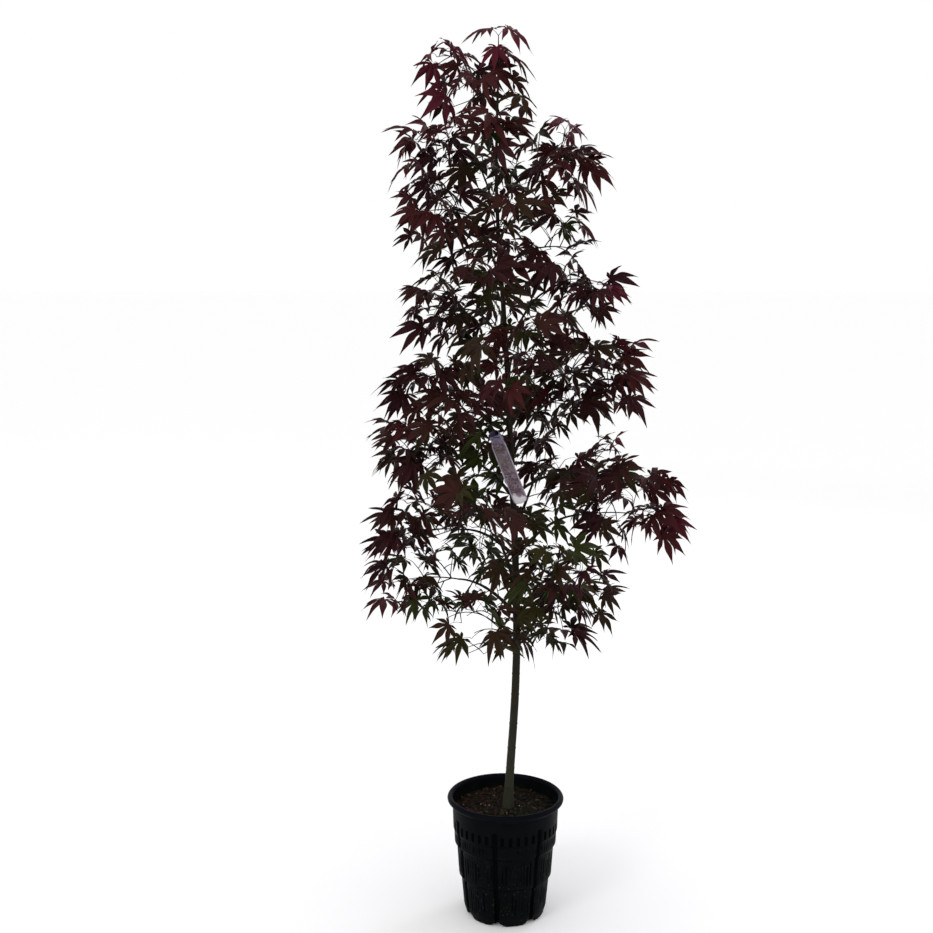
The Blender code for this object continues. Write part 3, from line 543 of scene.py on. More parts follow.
def specks_group():
    """Scattered specks, such as dried splashes or flecks, thick where its field is high."""
    inputs = (("Speck Scale", 400.0), ("Field Scale", 30.0), ("Amount", 0.4))
    group, given, out = start_group("Specks", inputs, ("Mask",))
    where = places(group)
    cells = add_node(group, "ShaderNodeTexVoronoi", {"Vector": where, "Scale": given["Speck Scale"]})
    dot = spread(group, cells.outputs["Distance"], 0.16, 0.34, 1.0, 0.0)
    chance = add_node(group, "ShaderNodeSeparateColor", {0: cells.outputs["Color"]}).outputs[0]
    field = spread(group, cloud(group, where, given["Field Scale"], 3.0), 0.38, 0.66)
    picked = formula(group, "LESS_THAN", chance, product(group, field, given["Amount"]))
    group.links.new(product(group, dot, picked), out["Mask"])
    return group


def bark_group():
    """Lengthwise ridges, their low lines for dark cracks and painted shade, and broad patches of bark."""
    inputs = (("Ridge Scale", 420.0), ("Patch Scale", 30.0))
    group, given, out = start_group("Bark", inputs, ("Height", "Crack", "Patch"))
    along = places(group, (1, 1, 0.16))
    ridges = cloud(group, along, given["Ridge Scale"], 5.0, 0.6)
    around = places(group, (0.35, 0.35, 1.6))
    rings = cloud(group, around, given["Ridge Scale"], 3.0)
    # Low lines of the ridges, where the cracks and their painted shade go
    crack = spread(group, ridges, 0.30, 0.44, 1.0, 0.0)
    raised = formula(group, "ADD", ridges, product(group, rings, 0.35))
    group.links.new(raised, out["Height"])
    group.links.new(crack, out["Crack"])
    patch = cloud(group, places(group, (1, 1, 0.45)), given["Patch Scale"], 5.0)
    group.links.new(spread(group, patch, 0.36, 0.64), out["Patch"])
    return group


def leaf_group():
    """Puckered blade of a leaf: its relief and where it is waxy."""
    inputs = (("Vein Scale", 260.0), ("Wax Scale", 45.0))
    group, given, out = start_group("Leaf blade", inputs, ("Height", "Wax"))
    where = places(group)
    sockets = {"Vector": where, "Scale": given["Vein Scale"]}
    cells = add_node(group, "ShaderNodeTexVoronoi", sockets, feature="SMOOTH_F1")
    bumps = formula(group, "ADD", cells.outputs["Distance"], cloud(group, where, given["Vein Scale"], 3.0))
    group.links.new(bumps, out["Height"])
    group.links.new(spread(group, cloud(group, where, given["Wax Scale"], 4.0), 0.34, 0.66), out["Wax"])
    return group


def use_group(tree, builder, inputs):
    """Place a shader group in a material, building it the first time, with its own values."""
    titles = {
        grain_group: "Fine grain", specks_group: "Specks", bark_group: "Bark", leaf_group: "Leaf blade",
    }
    group = bpy.data.node_groups.get(titles[builder]) or builder()
    made = tree.nodes.new("ShaderNodeGroup")
    made.node_tree = group
    for key, value in inputs.items():
        made.inputs[key].default_value = value
    return made.outputs


def start_material(name, shine):
    """New material with its shader's plain specular level set on its own socket."""
    made = bpy.data.materials.new(name)
    made.use_nodes = True
    shader = made.node_tree.nodes["Principled BSDF"]
    shader.inputs["Specular IOR Level"].default_value = shine
    return made, made.node_tree, shader.inputs


def finish_material(tree, shader, colour, roughness, height, depth):
    """Feed the shader its colour, roughness and relief."""
    for key, value in (("Base Color", colour), ("Roughness", roughness)):
        if isinstance(value, bpy.types.NodeSocket):
            tree.links.new(value, shader[key])
        else:
            shader[key].default_value = (*value, 1) if key == "Base Color" else value
    bump = add_node(tree, "ShaderNodeBump", {"Height": height, "Strength": 1.0, "Distance": depth})
    tree.links.new(bump.outputs[0], shader["Normal"])


def band(tree, value, low, full, last, high):
    """1 between full and last, fading to 0 at low and high."""
    return product(tree, spread(tree, value, low, full), spread(tree, value, last, high, 1.0, 0.0))


def distance_from_axis(tree):
    """Distance from the plant's upright axis, in metres."""
    flat = {0: places(tree, (1, 1, 0))}
    return add_node(tree, "ShaderNodeVectorMath", flat, operation="LENGTH").outputs["Value"]


def pot_wall_material(pot):
    """Black moulded plastic with painted shade on the ledges, dried splashes and green film above the mix.
    """
    made, tree, shader = start_material("pot_wall_plastic", 0.022)
    grain = use_group(tree, grain_group, {"Grain Scale": 1300.0, "Shade Scale": 26.0})
    splash = use_group(tree, specks_group, {"Speck Scale": 230.0, "Field Scale": 24.0, "Amount": pot.dusty})
    height = height_of(tree)
    wall = mottle(tree, grain["Shade"], pot.plastic, 0.70, 1.35)
    # Painted shade: the wall is darkened nearly to black on each ledge between the steps
    for low, high in POT_LEDGES:
        ledge_shade = band(tree, height, low - 0.0014, low, high + 0.0004, high + 0.0018)
        wall = blend(tree, product(tree, ledge_shade, 0.80), wall, (0.0, 0.0, 0.0))
    # Scuffs and painted sheen: the top of the rolled lip turns lighter and bluer
    lip = blend(tree, spread(tree, height, 0.272, 0.288), wall, pot.lip)
    dust = product(tree, splash["Mask"], spread(tree, height, 0.10, 0.20, 1.0, 0.0))
    dusty = blend(tree, dust, lip, pot.dust)
    inside = spread(tree, distance_from_axis(tree), 0.1259, 0.1262, 1.0, 0.0)
    by_mix = band(tree, height, 0.255, 0.258, 0.264, 0.284)
    film = product(tree, by_mix, product(tree, inside, grain["Shade"]))
    finished = blend(tree, product(tree, film, 0.5), dusty, pot.film)
    worn = spread(tree, grain["Shade"], 0.0, 1.0, 0.36, 0.52)
    rough = formula(tree, "ADD", worn, product(tree, dust, 0.4))
    finish_material(tree, shader, finished, rough, grain["Height"], 0.00012)
    return made


def recess_shade_material(pot):
    """Painted shade on the bottom of the slots and grooves and on the underside, with a random mottle."""
    made, tree, shader = start_material("pot_recess_plastic", 0.02)
    grain = use_group(tree, grain_group, {"Grain Scale": 800.0, "Shade Scale": 90.0})
    colour = mottle(tree, grain["Shade"], pot.plastic, 0.4, 0.8)
    rough = spread(tree, grain["Shade"], 0.0, 1.0, 0.6, 0.8)
    finish_material(tree, shader, colour, rough, grain["Height"], 0.0002)
    return made


def mix_material(mix):
    """Moist peat with lighter and darker crumbs and mossy patches."""
    made, tree, shader = start_material("peat", 0.05)
    grain = use_group(tree, grain_group, {"Grain Scale": 520.0, "Shade Scale": 160.0})
    crumbs = use_group(tree, specks_group, {"Speck Scale": 300.0, "Field Scale": 60.0, "Amount": 0.8})
    peat = mottle(tree, grain["Shade"], mix.peat, 0.45, 1.5)
    moss = cloud(tree, places(tree), 22.0)
    mossy = blend(tree, spread(tree, moss, 0.52, 0.70, 0.0, 0.55), peat, mix.moss)
    colour = blend(tree, product(tree, crumbs["Mask"], 0.7), mossy, mix.chip)
    rough = spread(tree, grain["Shade"], 0.0, 1.0, 0.7, 0.95)
    finish_material(tree, shader, colour, rough, grain["Height"], 0.0012)
    return made


def crumb_material(name, colour):
    """Rough crumb, such as a bark chip, a fibre or a mineral fleck."""
    made, tree, shader = start_material(name, 0.08)
    grain = use_group(tree, grain_group, {"Grain Scale": 1500.0, "Shade Scale": 210.0})
    mixed = mottle(tree, grain["Shade"], colour, 0.45, 1.5)
    rough = spread(tree, grain["Shade"], 0.0, 1.0, 0.6, 0.9)
    finish_material(tree, shader, mixed, rough, grain["Height"], 0.0004)
    return made


def trunk_material(bark):
    """Grey-green bark with dark fine cracks, partly painted shade, darker in the crown, and pale pores."""
    made, tree, shader = start_material("trunk_bark", 0.10)
    relief = use_group(tree, bark_group, {"Ridge Scale": 520.0, "Patch Scale": 34.0})
    pores = use_group(tree, specks_group, {"Speck Scale": 300.0, "Field Scale": 18.0, "Amount": 0.30})
    height = height_of(tree)
    low = blend(tree, spread(tree, height, 0.30, 0.46), bark.foot, bark.bark)
    base = blend(tree, spread(tree, height, 0.50, 0.85), low, bark.shaded)
    warm = blend(tree, product(tree, relief["Patch"], 0.6), base, bark.warm)
    pored = blend(tree, product(tree, pores["Mask"], 0.6), warm, bark.pore)
    # Cracks and painted shade: darker where the relief is low
    colour = blend(tree, product(tree, relief["Crack"], 0.8), pored, bark.crack)
    rough = spread(tree, relief["Patch"], 0.0, 1.0, 0.55, 0.78)
    finish_material(tree, shader, colour, rough, relief["Height"], 0.0005)
    return made


def twig_material(name, colour, shine):
    """Smooth young wood or stalk with faint ridges."""
    made, tree, shader = start_material(name, shine)
    relief = use_group(tree, bark_group, {"Ridge Scale": 1400.0, "Patch Scale": 70.0})
    mixed = mottle(tree, relief["Patch"], colour, 0.6, 1.3)
    rough = spread(tree, relief["Patch"], 0.0, 1.0, 0.42, 0.62)
    finish_material(tree, shader, mixed, rough, relief["Height"], 0.00015)
    return made


def blade_material(name, colour):
    """Leaf blade in one plain colour, waxy in places and finely puckered."""
    made, tree, shader = start_material(name, 0.045)
    shader["Specular Tint"].default_value = (0.80, 0.72, 1.0, 1)
    blade = use_group(tree, leaf_group, {"Vein Scale": 420.0, "Wax Scale": 38.0})
    rough = spread(tree, blade["Wax"], 0.0, 1.0, 0.40, 0.64)
    finish_material(tree, shader, tuple(colour), rough, blade["Height"], 0.00035)
    return made


def tag_material(tag):
    """Faded mauve plastic with dark speckles, an olive tinge and a pale lower end."""
    made, tree, shader = start_material("tag_plastic", 0.35)
    low, high = TAG_BOX
    grain = use_group(tree, grain_group, {"Grain Scale": 700.0, "Shade Scale": 75.0})
    spots = spread(tree, cloud(tree, places(tree), 260.0, 3.0), 0.47, 0.56)
    sparse = spread(tree, cloud(tree, places(tree), 34.0, 2.0), 0.34, 0.62, 0.25, 1.0)
    height = height_of(tree)
    worn = formula(tree, "ADD", height, product(tree, grain["Shade"], 0.010))
    foot = spread(tree, worn, low.z + 0.021, low.z + 0.027, 1.0, 0.0)
    faded = blend(tree, grain["Shade"], tag.blush, tag.face)
    mottled = blend(tree, product(tree, product(tree, spots, sparse), 0.8), faded, tag.stain)
    below_loop = band(tree, worn, high.z - 0.085, high.z - 0.075, high.z - 0.05, high.z - 0.03)
    tinged = blend(tree, product(tree, below_loop, 0.35), mottled, tag.tinge)
    head = blend(tree, spread(tree, height, high.z - 0.030, high.z - 0.015, 0.0, 0.75), tinged, tag.head)
    colour = blend(tree, product(tree, foot, 0.95), head, tag.end)
    rough = spread(tree, grain["Shade"], 0.0, 1.0, 0.34, 0.52)
    finish_material(tree, shader, colour, rough, grain["Height"], 0.0001)
    return made


def floor_material(stage):
    """Pale matt floor that lightens into the distance."""
    made, tree, shader = start_material("studio_floor", 0.1)
    grain = use_group(tree, grain_group, {"Grain Scale": 240.0, "Shade Scale": 3.0})
    away = add_node(tree, "ShaderNodeVectorMath", {0: places(tree)}, operation="LENGTH").outputs["Value"]
    near = mottle(tree, grain["Shade"], stage.floor, 0.99, 1.0)
    colour = blend(tree, spread(tree, away, 1.0, 8.0), near, (0.99, 0.99, 0.99))
    finish_material(tree, shader, colour, 0.9, grain["Height"], 0.0002)
    return made


# Meshes


class Gathered:
    """Points and faces of many small parts that become one mesh."""

    def __init__(self):
        self.points, self.faces, self.slots, self.count = [], [], [], 0

    def add(self, points, faces, slot=0):
        """Take in one more part."""
        if isinstance(points, list):
            points = [tuple(point) for point in points]
        self.points.append(np.asarray(points, dtype=float))
        first = self.count
        self.faces += [tuple(i + first for i in face) for face in faces]
        self.slots += [slot] * len(faces)
        self.count += len(points)


def add_piece(name, gathered, materials, replaced, smooth=40):
    """Object from gathered parts that rides on the model and stands for its nodes."""
    mesh = bpy.data.meshes.new(name)
    mesh.from_pydata(np.concatenate(gathered.points).tolist(), [], gathered.faces)
    for material in materials:
        mesh.materials.append(material)
    mesh.polygons.foreach_set("material_index", gathered.slots)
    mesh.shade_smooth()
    mesh.set_sharp_from_angle(angle=math.radians(smooth))
    mesh.update()
    made = bpy.data.objects.new(name, mesh)
    bpy.context.scene.collection.objects.link(made)
    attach(made, "root")
    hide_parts(*replaced)


def rows_to_faces(rows, columns, closed=True):
    """Four-sided faces between rows of points."""
    faces = []
    for r in range(rows - 1):
        for c in range(columns if closed else columns - 1):
            a, b = r * columns + c, r * columns + (c + 1) % columns
            faces.append((a, b, b + columns, a + columns))
    return faces


def capped_rows(rows, columns):
    """Faces between closed rows of points, and one over each end."""
    last = (rows - 1) * columns
    ends = [tuple(reversed(range(columns))), tuple(range(last, last + columns))]
    return rows_to_faces(rows, columns) + ends


def tube(points, radii, sides):
    """Round tapering tube along points, closed at both ends."""
    verts, across = [], None
    for k, (point, radius) in enumerate(zip(points, radii)):
        ahead = (points[min(k + 1, len(points) - 1)] - points[max(k - 1, 0)]).normalized()
        across = across - ahead * across.dot(ahead) if across else ahead.orthogonal()
        across.normalize()
        second = ahead.cross(across)
        for i in range(sides):
            angle = 2 * math.pi * i / sides
            verts.append(point + (across * math.cos(angle) + second * math.sin(angle)) * radius)
    return verts, capped_rows(len(points), sides)


# Pot


def panel_columns():
    """Places of the pot's columns across one panel, from 0 to 1, close at each edge."""
    shares = {0.0}
    for edge in GROOVE_COLUMNS:
        shares |= {edge, 1 - edge}
    for k in range(1, PANEL_PARTS):
        edges = RIB_HALF if k % 2 else RIB_HALF + SLOT_HALF
        shares |= {k / PANEL_PARTS + hand * edge for edge in edges for hand in (-1, 1)}
        shares.add(k / PANEL_PARTS)
    return sorted(shares)


def ramp(value, full, none):
    """1 up to full and 0 from none on, straight between them."""
    return min(max((none - value) / (none - full), 0.0), 1.0)


def wall_at(height):
    """Radius and groove depth of the pot's wall at a height."""
    for (z0, r0, g0), (z1, r1, g1) in zip(POT_WALL, POT_WALL[1:]):
        if height <= z1:
            t = (height - z0) / (z1 - z0)
            return r0 + (r1 - r0) * t, g0 + (g1 - g0) * t
    return POT_WALL[-1][1:]


def wall_sink(pot, turn, height):
    """How far the wall lies below the panel's face, with ribs that differ in length and depth."""
    share = turn * PANELS % 1
    soft = ramp(min(share, 1 - share), *GROOVE_HALF)
    deep = wall_at(height)[1] * soft * soft * (3 - 2 * soft)
    part = min(range(1, PANEL_PARTS), key=lambda k: abs(share - k / PANEL_PARTS))
    rib = abs(share - part / PANEL_PARTS)
    number = PANEL_PARTS * int(turn * PANELS + 1e-6) + part
    for tier, (low, high) in enumerate(RIB_TIERS):
        short, shorter, shallow = noise.cell_vector(Vector((number, tier, 0.5)))
        trim = RIB_TRIM * (high - low)
        tall = ramp(low + trim * short * short - height, -RIB_END, 0.0)
        tall *= ramp(height - high + trim * shorter * shorter, -RIB_END, 0.0)
        deep = max(deep, pot.rib_depth * (1 - 0.6 * shallow) * ramp(rib, *RIB_HALF) * tall)
    low, high = SLOT_TIER
    slots = PANEL_PARTS // 2
    slot = min(abs(share - k / slots) for k in range(1, slots))
    tall = ramp(low - height, -SLOT_END, 0.0) * ramp(height - high, -SLOT_END, 0.0)
    return max(deep, pot.slot_depth * ramp(slot, *SLOT_HALF) * tall)


def wall_heights():
    """Heights of the wall's rows, close at each step and along the ribs."""
    heights = set(WALL_ROWS)
    for z, _, _ in POT_WALL[1:]:
        heights |= {z - STEP_HALF, z, z + STEP_HALF}
    for low, high in RIB_TIERS:
        rows = round((high - low) / RIB_END)
        heights |= {low + (high - low) * k / rows for k in range(rows + 1)}
    return sorted(z for z in heights if z <= POT_WALL[-1][0])


def build_pot(pot):
    """Ribbed wall with grooves and slots, notched foot, rolled lip and dark inside."""
    parts = Gathered()
    shares = panel_columns()
    turns = [(n + share) / PANELS for n in range(PANELS) for share in shares]
    angles = [FIRST_GROOVE + 2 * math.pi * turn for turn in turns]
    heights = wall_heights()
    top = POT_WALL[-1][0]
    points, sinks = [], []
    for height in heights:
        if height > 0:
            radius = (wall_at(height - STEP_HALF)[0] + wall_at(min(height + STEP_HALF, top))[0]) / 2
        else:
            radius = wall_at(height)[0] - FOOT_ROUND
        for turn, angle in zip(turns, angles):
            share = turn * PANELS % 1
            sink = wall_sink(pot, turn, height)
            notch = pot.foot_notch * ramp(min(share, 1 - share), *NOTCH_HALF) ** 2
            z = notch + height * (FOOT_TOP - notch) / FOOT_TOP if height < FOOT_TOP else height
            points.append(((radius - sink) * math.cos(angle), (radius - sink) * math.sin(angle), z))
            sinks.append(sink)
    columns = len(turns)
    rows = len(heights) + len(POT_LIP)
    for height, radius in POT_LIP:
        points += [(radius * math.cos(angle), radius * math.sin(angle), height) for angle in angles]
    sinks += [0.0] * (columns * len(POT_LIP))
    faces = rows_to_faces(rows, columns)
    faces.append(tuple(range((rows - 1) * columns, rows * columns)))
    # Faces that lie deep in a slot or groove take the second material, which paints shade
    hidden = min(pot.slot_depth, pot.rib_depth) * HIDDEN_SHARE
    plain = [f for f in faces if len(f) > 4 or min(sinks[i] for i in f) < hidden]
    sunk = [f for f in faces if len(f) == 4 and min(sinks[i] for i in f) >= hidden]
    parts.add(points, plain, 0)
    parts.faces += sunk
    parts.slots += [1] * len(sunk)
    add_underside(parts, points[:columns], columns)
    materials = [pot_wall_material(pot), recess_shade_material(pot)]
    add_piece("pot_body", parts, materials, ["pot"], 32)


def add_underside(parts, rim, columns):
    """Underside of the pot, drawn in and up from its feet."""
    rings = [np.array(rim)]
    for scale, height in UNDERSIDE:
        ring = rings[0] * (scale, scale, 1)
        if height > 0:
            ring[:, 2] = height
        rings.append(ring)
    faces = [face[::-1] for face in rows_to_faces(len(rings), columns)]
    last = (len(rings) - 1) * columns
    faces.append(tuple(reversed(range(last, last + columns))))
    # The underside takes the second material, which paints shade
    parts.add(np.concatenate(rings), faces, 1)


# Potting mix


def soil_height(x, y, lumps):
    """Height of the mix at a place: lumpy, heaped at the trunk and sunk at the wall."""
    away = math.hypot(x, y)
    heap = HEAP_HEIGHT * math.exp(-((math.hypot(x - TRUNK_FOOT_X, y) / HEAP_WIDTH) ** 2))
    edge = -SINK_DEPTH * max((away - SINK_FROM) / SINK_WIDTH, 0.0) ** 2 + SOIL_RISE * y * (y > 0)
    place = Vector((x, y, 0.0))
    rough = noise.noise(place * 60) * 0.55 + noise.noise(place * 190 + Vector((3, 1, 2))) * 0.45
    return SOIL_TOP + heap + edge + lumps * rough


def crumb(centre, size, rng):
    """Angular crumb with jittered corners, lying at a random turn."""
    turn = Matrix.Rotation(rng.uniform(0, 6.3), 3, "Z") @ Matrix.Rotation(rng.gauss(0, 0.5), 3, "X")
    points = []
    for x in (-1, 1):
        for y in (-1, 1):
            for z in (-1, 1):
                corner = Vector((x * size[0], y * size[1], z * size[2])) * 0.5
                points.append(centre + turn @ (corner * rng.uniform(0.6, 1.15)))
    return points, [(0, 1, 3, 2), (4, 6, 7, 5), (0, 4, 5, 1), (2, 3, 7, 6), (0, 2, 6, 4), (1, 5, 7, 3)]


def scatter(mix, kind, rng):
    """Crumbs of one kind lying on the mix, as many of them on the left as the kind's share says."""
    parts = Gathered()
    for _ in range(round(mix.chips * kind.share)):
        away, turn = SOIL_RADIUS * 0.985 * math.sqrt(rng.random()), rng.uniform(0, 2 * math.pi)
        x, y = away * math.cos(turn), away * math.sin(turn)
        x = -abs(x) if rng.random() < kind.left_share else abs(x)
        if math.hypot(x - TRUNK_FOOT_X, y) < CLEAR_OF_TRUNK:
            continue
        long = rng.uniform(*kind.sizes)
        size = (long, long * rng.uniform(0.3, 0.8), long * rng.uniform(0.15, 0.45))
        z = soil_height(x, y, mix.roughness_height) + size[2] * kind.lift
        inside = (SOIL_RADIUS - 0.0008 - long * 0.6) / max(away, 0.001)
        x, y = (x * min(inside, 1), y * min(inside, 1))
        parts.add(*crumb(Vector((x, y, z)), size, rng))
    return parts


def build_mix(mix):
    """Lumpy peat with bark chips, fibres and a few pale flecks."""
    rng = random.Random(SEED)
    rings, spokes = 74, 150
    points = []
    for k in range(rings):
        away = SOIL_RADIUS * (1 - k / rings)
        for i in range(spokes):
            angle = 2 * math.pi * i / spokes
            x, y = away * math.cos(angle), away * math.sin(angle)
            points.append((x, y, soil_height(x, y, mix.roughness_height)))
    skirt = [(p[0] * s, p[1] * s, z) for s, z in MIX_SKIRT for p in points[:spokes]]
    parts = Gathered()
    parts.add(skirt + points, capped_rows(len(MIX_SKIRT) + rings, spokes))
    add_piece("mix_bed", parts, [mix_material(mix)], ["soil"], 60)
    for kind in CRUMBS:
        material = crumb_material(kind.material, getattr(mix, kind.setting))
        add_piece(kind.piece, scatter(mix, kind, rng), [material], ["soil"], 20)


# Trunk and boughs


def trunk_centre(height):
    """Middle of the trunk at a height, on a smooth curve through its line."""
    line = TRUNK_LINE
    height = min(max(height, line[0][0]), line[-1][0])
    k = max(i for i in range(len(line) - 1) if line[i][0] <= height or i == 0)
    before, here, after, beyond = (line[min(max(i, 0), len(line) - 1)] for i in range(k - 1, k + 3))
    span = after[0] - here[0]
    t = (height - here[0]) / span
    place = []
    for axis in (1, 2):
        slope_here = (after[axis] - before[axis]) / (after[0] - before[0]) * span
        slope_after = (beyond[axis] - here[axis]) / (beyond[0] - here[0]) * span
        place.append(
            here[axis] * (2 * t**3 - 3 * t**2 + 1) + slope_here * (t**3 - 2 * t**2 + t)
            + after[axis] * (3 * t**2 - 2 * t**3) + slope_after * (t**3 - t**2)
        )
    return Vector((place[0], place[1], height))


def trunk_radius(height):
    """Radius of the trunk above its root flare."""
    share = max(height - TRUNK_LINE[0][0], 0) / (TRUNK_LINE[-1][0] - TRUNK_LINE[0][0])
    return TRUNK_LOW_RADIUS - (TRUNK_LOW_RADIUS - TRUNK_TIP_RADIUS) * min(share, 1) ** TRUNK_TAPER_POWER


def bearing(height, out, half_span):
    """Distance from the trunk's middle, towards out, at which a limb's root clears the trunk."""
    middle = trunk_centre(height)
    steps = [height + half_span * k / 4 for k in range(-4, 5)]
    return max((trunk_centre(z) - middle).dot(out) + trunk_radius(z) for z in steps) + GAP


def bough_point(tier, side, out, share):
    """Point on a bough, which leaves the trunk steeply and flattens towards its tip."""
    radius = trunk_radius(tier.height) * BOUGH_THICKNESS
    root = bearing(tier.height, out, ROOT_SPAN * radius)
    length = tier.reaches[side] * BOUGH_SHARE - root
    bend = BOUGH_BEND * length * math.sin(math.pi * share) * math.sin(tier.turn + 2 * side)
    climb = tier.climbs[side] * (1 - (1 - share) ** 2)
    return trunk_centre(tier.height) + out * (root + length * share) + UP.cross(out) * bend + UP * climb


def limbs():
    """Boughs, and the sprays at their tips or on the trunk."""
    boughs, sprays = [], []
    for tier in TIERS:
        for side, reach in enumerate(tier.reaches):
            out = Matrix.Rotation(math.radians(tier.turn + 180 * side), 3, "Z") @ Vector((1, 0, 0))
            name = f"{tier.name}_{'ab'[side]}"
            if tier.boughs:
                steps = [k / BOUGH_STEPS for k in range(BOUGH_STEPS + 1)]
                points = [bough_point(tier, side, out, step) for step in steps]
                radius = max(trunk_radius(tier.height) * BOUGH_THICKNESS, TWIG_RADIUS)
                ahead = (points[-1] - points[-1 - BOUGH_STEPS // 4]).normalized()
                boughs.append(Bough(name, points, radius, out))
                slope = ahead.z / math.hypot(ahead.x, ahead.y)
                run = reach * (1 - BOUGH_SHARE)
                sprays.append(Spray("foliage_" + name, points[-1], out, slope, run, 0))
            else:
                root = bearing(tier.height, out, ROOT_SPAN * STICK_ROOT)
                start = trunk_centre(tier.height) + out * root
                slope = min(2 * tier.climbs[side] / (reach - LEAF_REACH) + STEM_FALL, STEEPEST_SPRAY)
                sprays.append(Spray("foliage_" + name, start, out, slope, reach - root, 0.25))
    return boughs, sprays


def knuckle_heights(rng):
    """Heights of the rings that old leaves left on the trunk."""
    heights, z = [], FIRST_KNUCKLE
    while z < TRUNK_LINE[-1][0] - 0.02:
        heights.append(z)
        z += rng.uniform(*KNUCKLE_GAPS)
    return heights


def trunk_skin(bark, height, angle, knuckles):
    """Radius of the trunk's bark at a height and angle."""
    above = height - TRUNK_LINE[0][0]
    flare = FLARE_RADIUS * math.exp(-max(above, -0.003) / FLARE_HEIGHT)
    radius = trunk_radius(height) + flare * (1 + ROOT_SWELL * math.cos(ROOTS * angle))
    slim = trunk_radius(height) / TRUNK_LOW_RADIUS
    place = Vector((math.cos(angle), math.sin(angle), 0))
    ridges = noise.noise(place * 3.2 + UP * height * 26) + 0.6 * noise.noise(place * 9 + UP * height * 60)
    broad = noise.noise(place * 0.9 + UP * height * 9)
    near = min(abs(height - z) for z in knuckles)
    swell = min(abs(height - tier.height) for tier in TIERS)
    crest = math.exp(-((near / KNUCKLE_WIDTH) ** 2))
    hollow = math.exp(-(((near - 0.005) / 0.002) ** 2))
    ring = bark.knuckle * crest - 0.4 * bark.knuckle * hollow
    knee = KNEE_HEIGHT * math.exp(-((swell / KNEE_WIDTH) ** 2))
    return radius + slim * (bark.relief * ridges + 0.0005 * broad + ring + knee)


def build_trunk(bark, material):
    """Tapering trunk with its root flare, ridges and rings, up into the leading shoot."""
    knuckles = knuckle_heights(random.Random(SEED))
    rows, sides = 700, 40
    foot, tip = SOIL_TOP - 0.004, TRUNK_LINE[-1][0] + 0.0015
    points = []
    for k in range(rows):
        height = foot + (tip - foot) * k / (rows - 1)
        centre = trunk_centre(height)
        for i in range(sides):
            angle = 2 * math.pi * i / sides
            radius = trunk_skin(bark, height, angle, knuckles)
            x, y = centre.x + radius * math.cos(angle), centre.y + radius * math.sin(angle)
            points.append((x, y, height))
    parts = Gathered()
    parts.add(points, capped_rows(rows, sides))
    add_piece("trunk_bark", parts, [material], ["trunk"], 50)


def build_boughs(material, boughs):
    """Tapering boughs with a collar where each leaves the trunk."""
    parts = Gathered()
    sides = 18
    for number, bough in enumerate(boughs):
        root = bough.points[0]
        inward = root - bough.out * (bough.radius * 1.5) - UP * 0.002
        line = [inward, inward.lerp(root, 0.5)] + bough.points
        radii = []
        for k, point in enumerate(line):
            share = max(k - 2, 0) / BOUGH_STEPS
            radius = bough.radius + (TWIG_RADIUS - bough.radius) * share
            collar = COLLAR_SHARE * bough.radius * math.exp(-(point - root).length / COLLAR_LENGTH)
            ring = 0.10 * radius * max(math.cos(share * 38 + number), 0) ** 12
            radii.append(radius + collar * (k > 1) + ring)
        verts, faces = tube(line, radii, sides)
        for i, vert in enumerate(verts):
            middle = line[i // sides]
            rough = noise.noise(vert * 130) * 0.5 + noise.noise(vert * 420) * 0.3
            verts[i] = middle + (vert - middle) * (1 + 0.10 * rough)
        parts.add(verts, faces)
    add_piece("bough_bark", parts, [material], BOUGH_NODES, 50)


# Leaves


def lobe_point(lobe, share, width, leaf):
    """Point of a lobe: along it and to its side, folded, curled, bowed sideways and waved."""
    turn, length, bow, droop, wave = lobe
    along = length * share
    side = width * length + bow * length * share**2
    lift = leaf.fold * abs(width) * length
    lift += 0.018 * math.sin(share * 9 + wave) * math.copysign(1, width) * (abs(width) > 0)
    lift -= droop * along**2
    cos, sin = math.cos(math.radians(turn)), math.sin(math.radians(turn))
    return along * cos - side * sin, along * sin + side * cos, lift


def leaf_pattern(leaf, rng):
    """One leaf lying flat, of unit length: points and triangles."""
    points, faces = [(0.0, 0.0, 0.0)], []
    webs = []
    inner = LOBE_OUTLINE[1:-1]
    for turn, length in LOBES:
        lobe = (
            turn + rng.uniform(-4, 4), length * rng.uniform(0.92, 1.06), rng.uniform(-0.06, 0.06),
            rng.uniform(0.02, 0.42), rng.uniform(0, 6),
        )
        middle = len(points)
        points += [lobe_point(lobe, share, 0.0, leaf) for share, _ in LOBE_OUTLINE[1:]]
        joins = []
        for hand in (1, -1):
            edge = len(points)
            points += [lobe_point(lobe, share, hand * width, leaf) for share, width in inner]
            side = [(0, middle, edge)]
            for k in range(len(inner) - 1):
                side += [(middle + k, middle + k + 1, edge + k), (middle + k + 1, edge + k + 1, edge + k)]
            side.append((middle + len(inner) - 1, middle + len(inner), edge + len(inner) - 1))
            faces += side if hand > 0 else [face[::-1] for face in side]
            joins.append(edge)
        webs.append(joins)
    points = np.array(points)
    for (here, _), (_, there) in zip(webs, webs[1:]):
        for k in range(WEB_AT):
            points[[here + k, there + k]] = (points[here + k] + points[there + k]) / 2
    return points, np.array(faces)


def picture_place(point):
    """Where a point shows on the trunk's plane, as seen from the front."""
    near = -EYE.y / (point.y - EYE.y)
    return point.x * near, EYE.z + (point.z - EYE.z) * near


def in_opening(point, width):
    """Whether a leaf would hang too low, fill an opening of the crown or hide the tag."""
    x, z = picture_place(point)
    filled = any(math.hypot(x - ox, z - oz) < radius + width for ox, oz, radius in OPENINGS)
    if z < CROWN_FOOT + 0.02 or filled:
        return True
    low, high = TAG_BOX
    sides, front, below, above = TAG_ROOM
    before = point.y < low.y + front and low.x - sides < x < high.x + sides
    return before and low.z - below < z < high.z + above


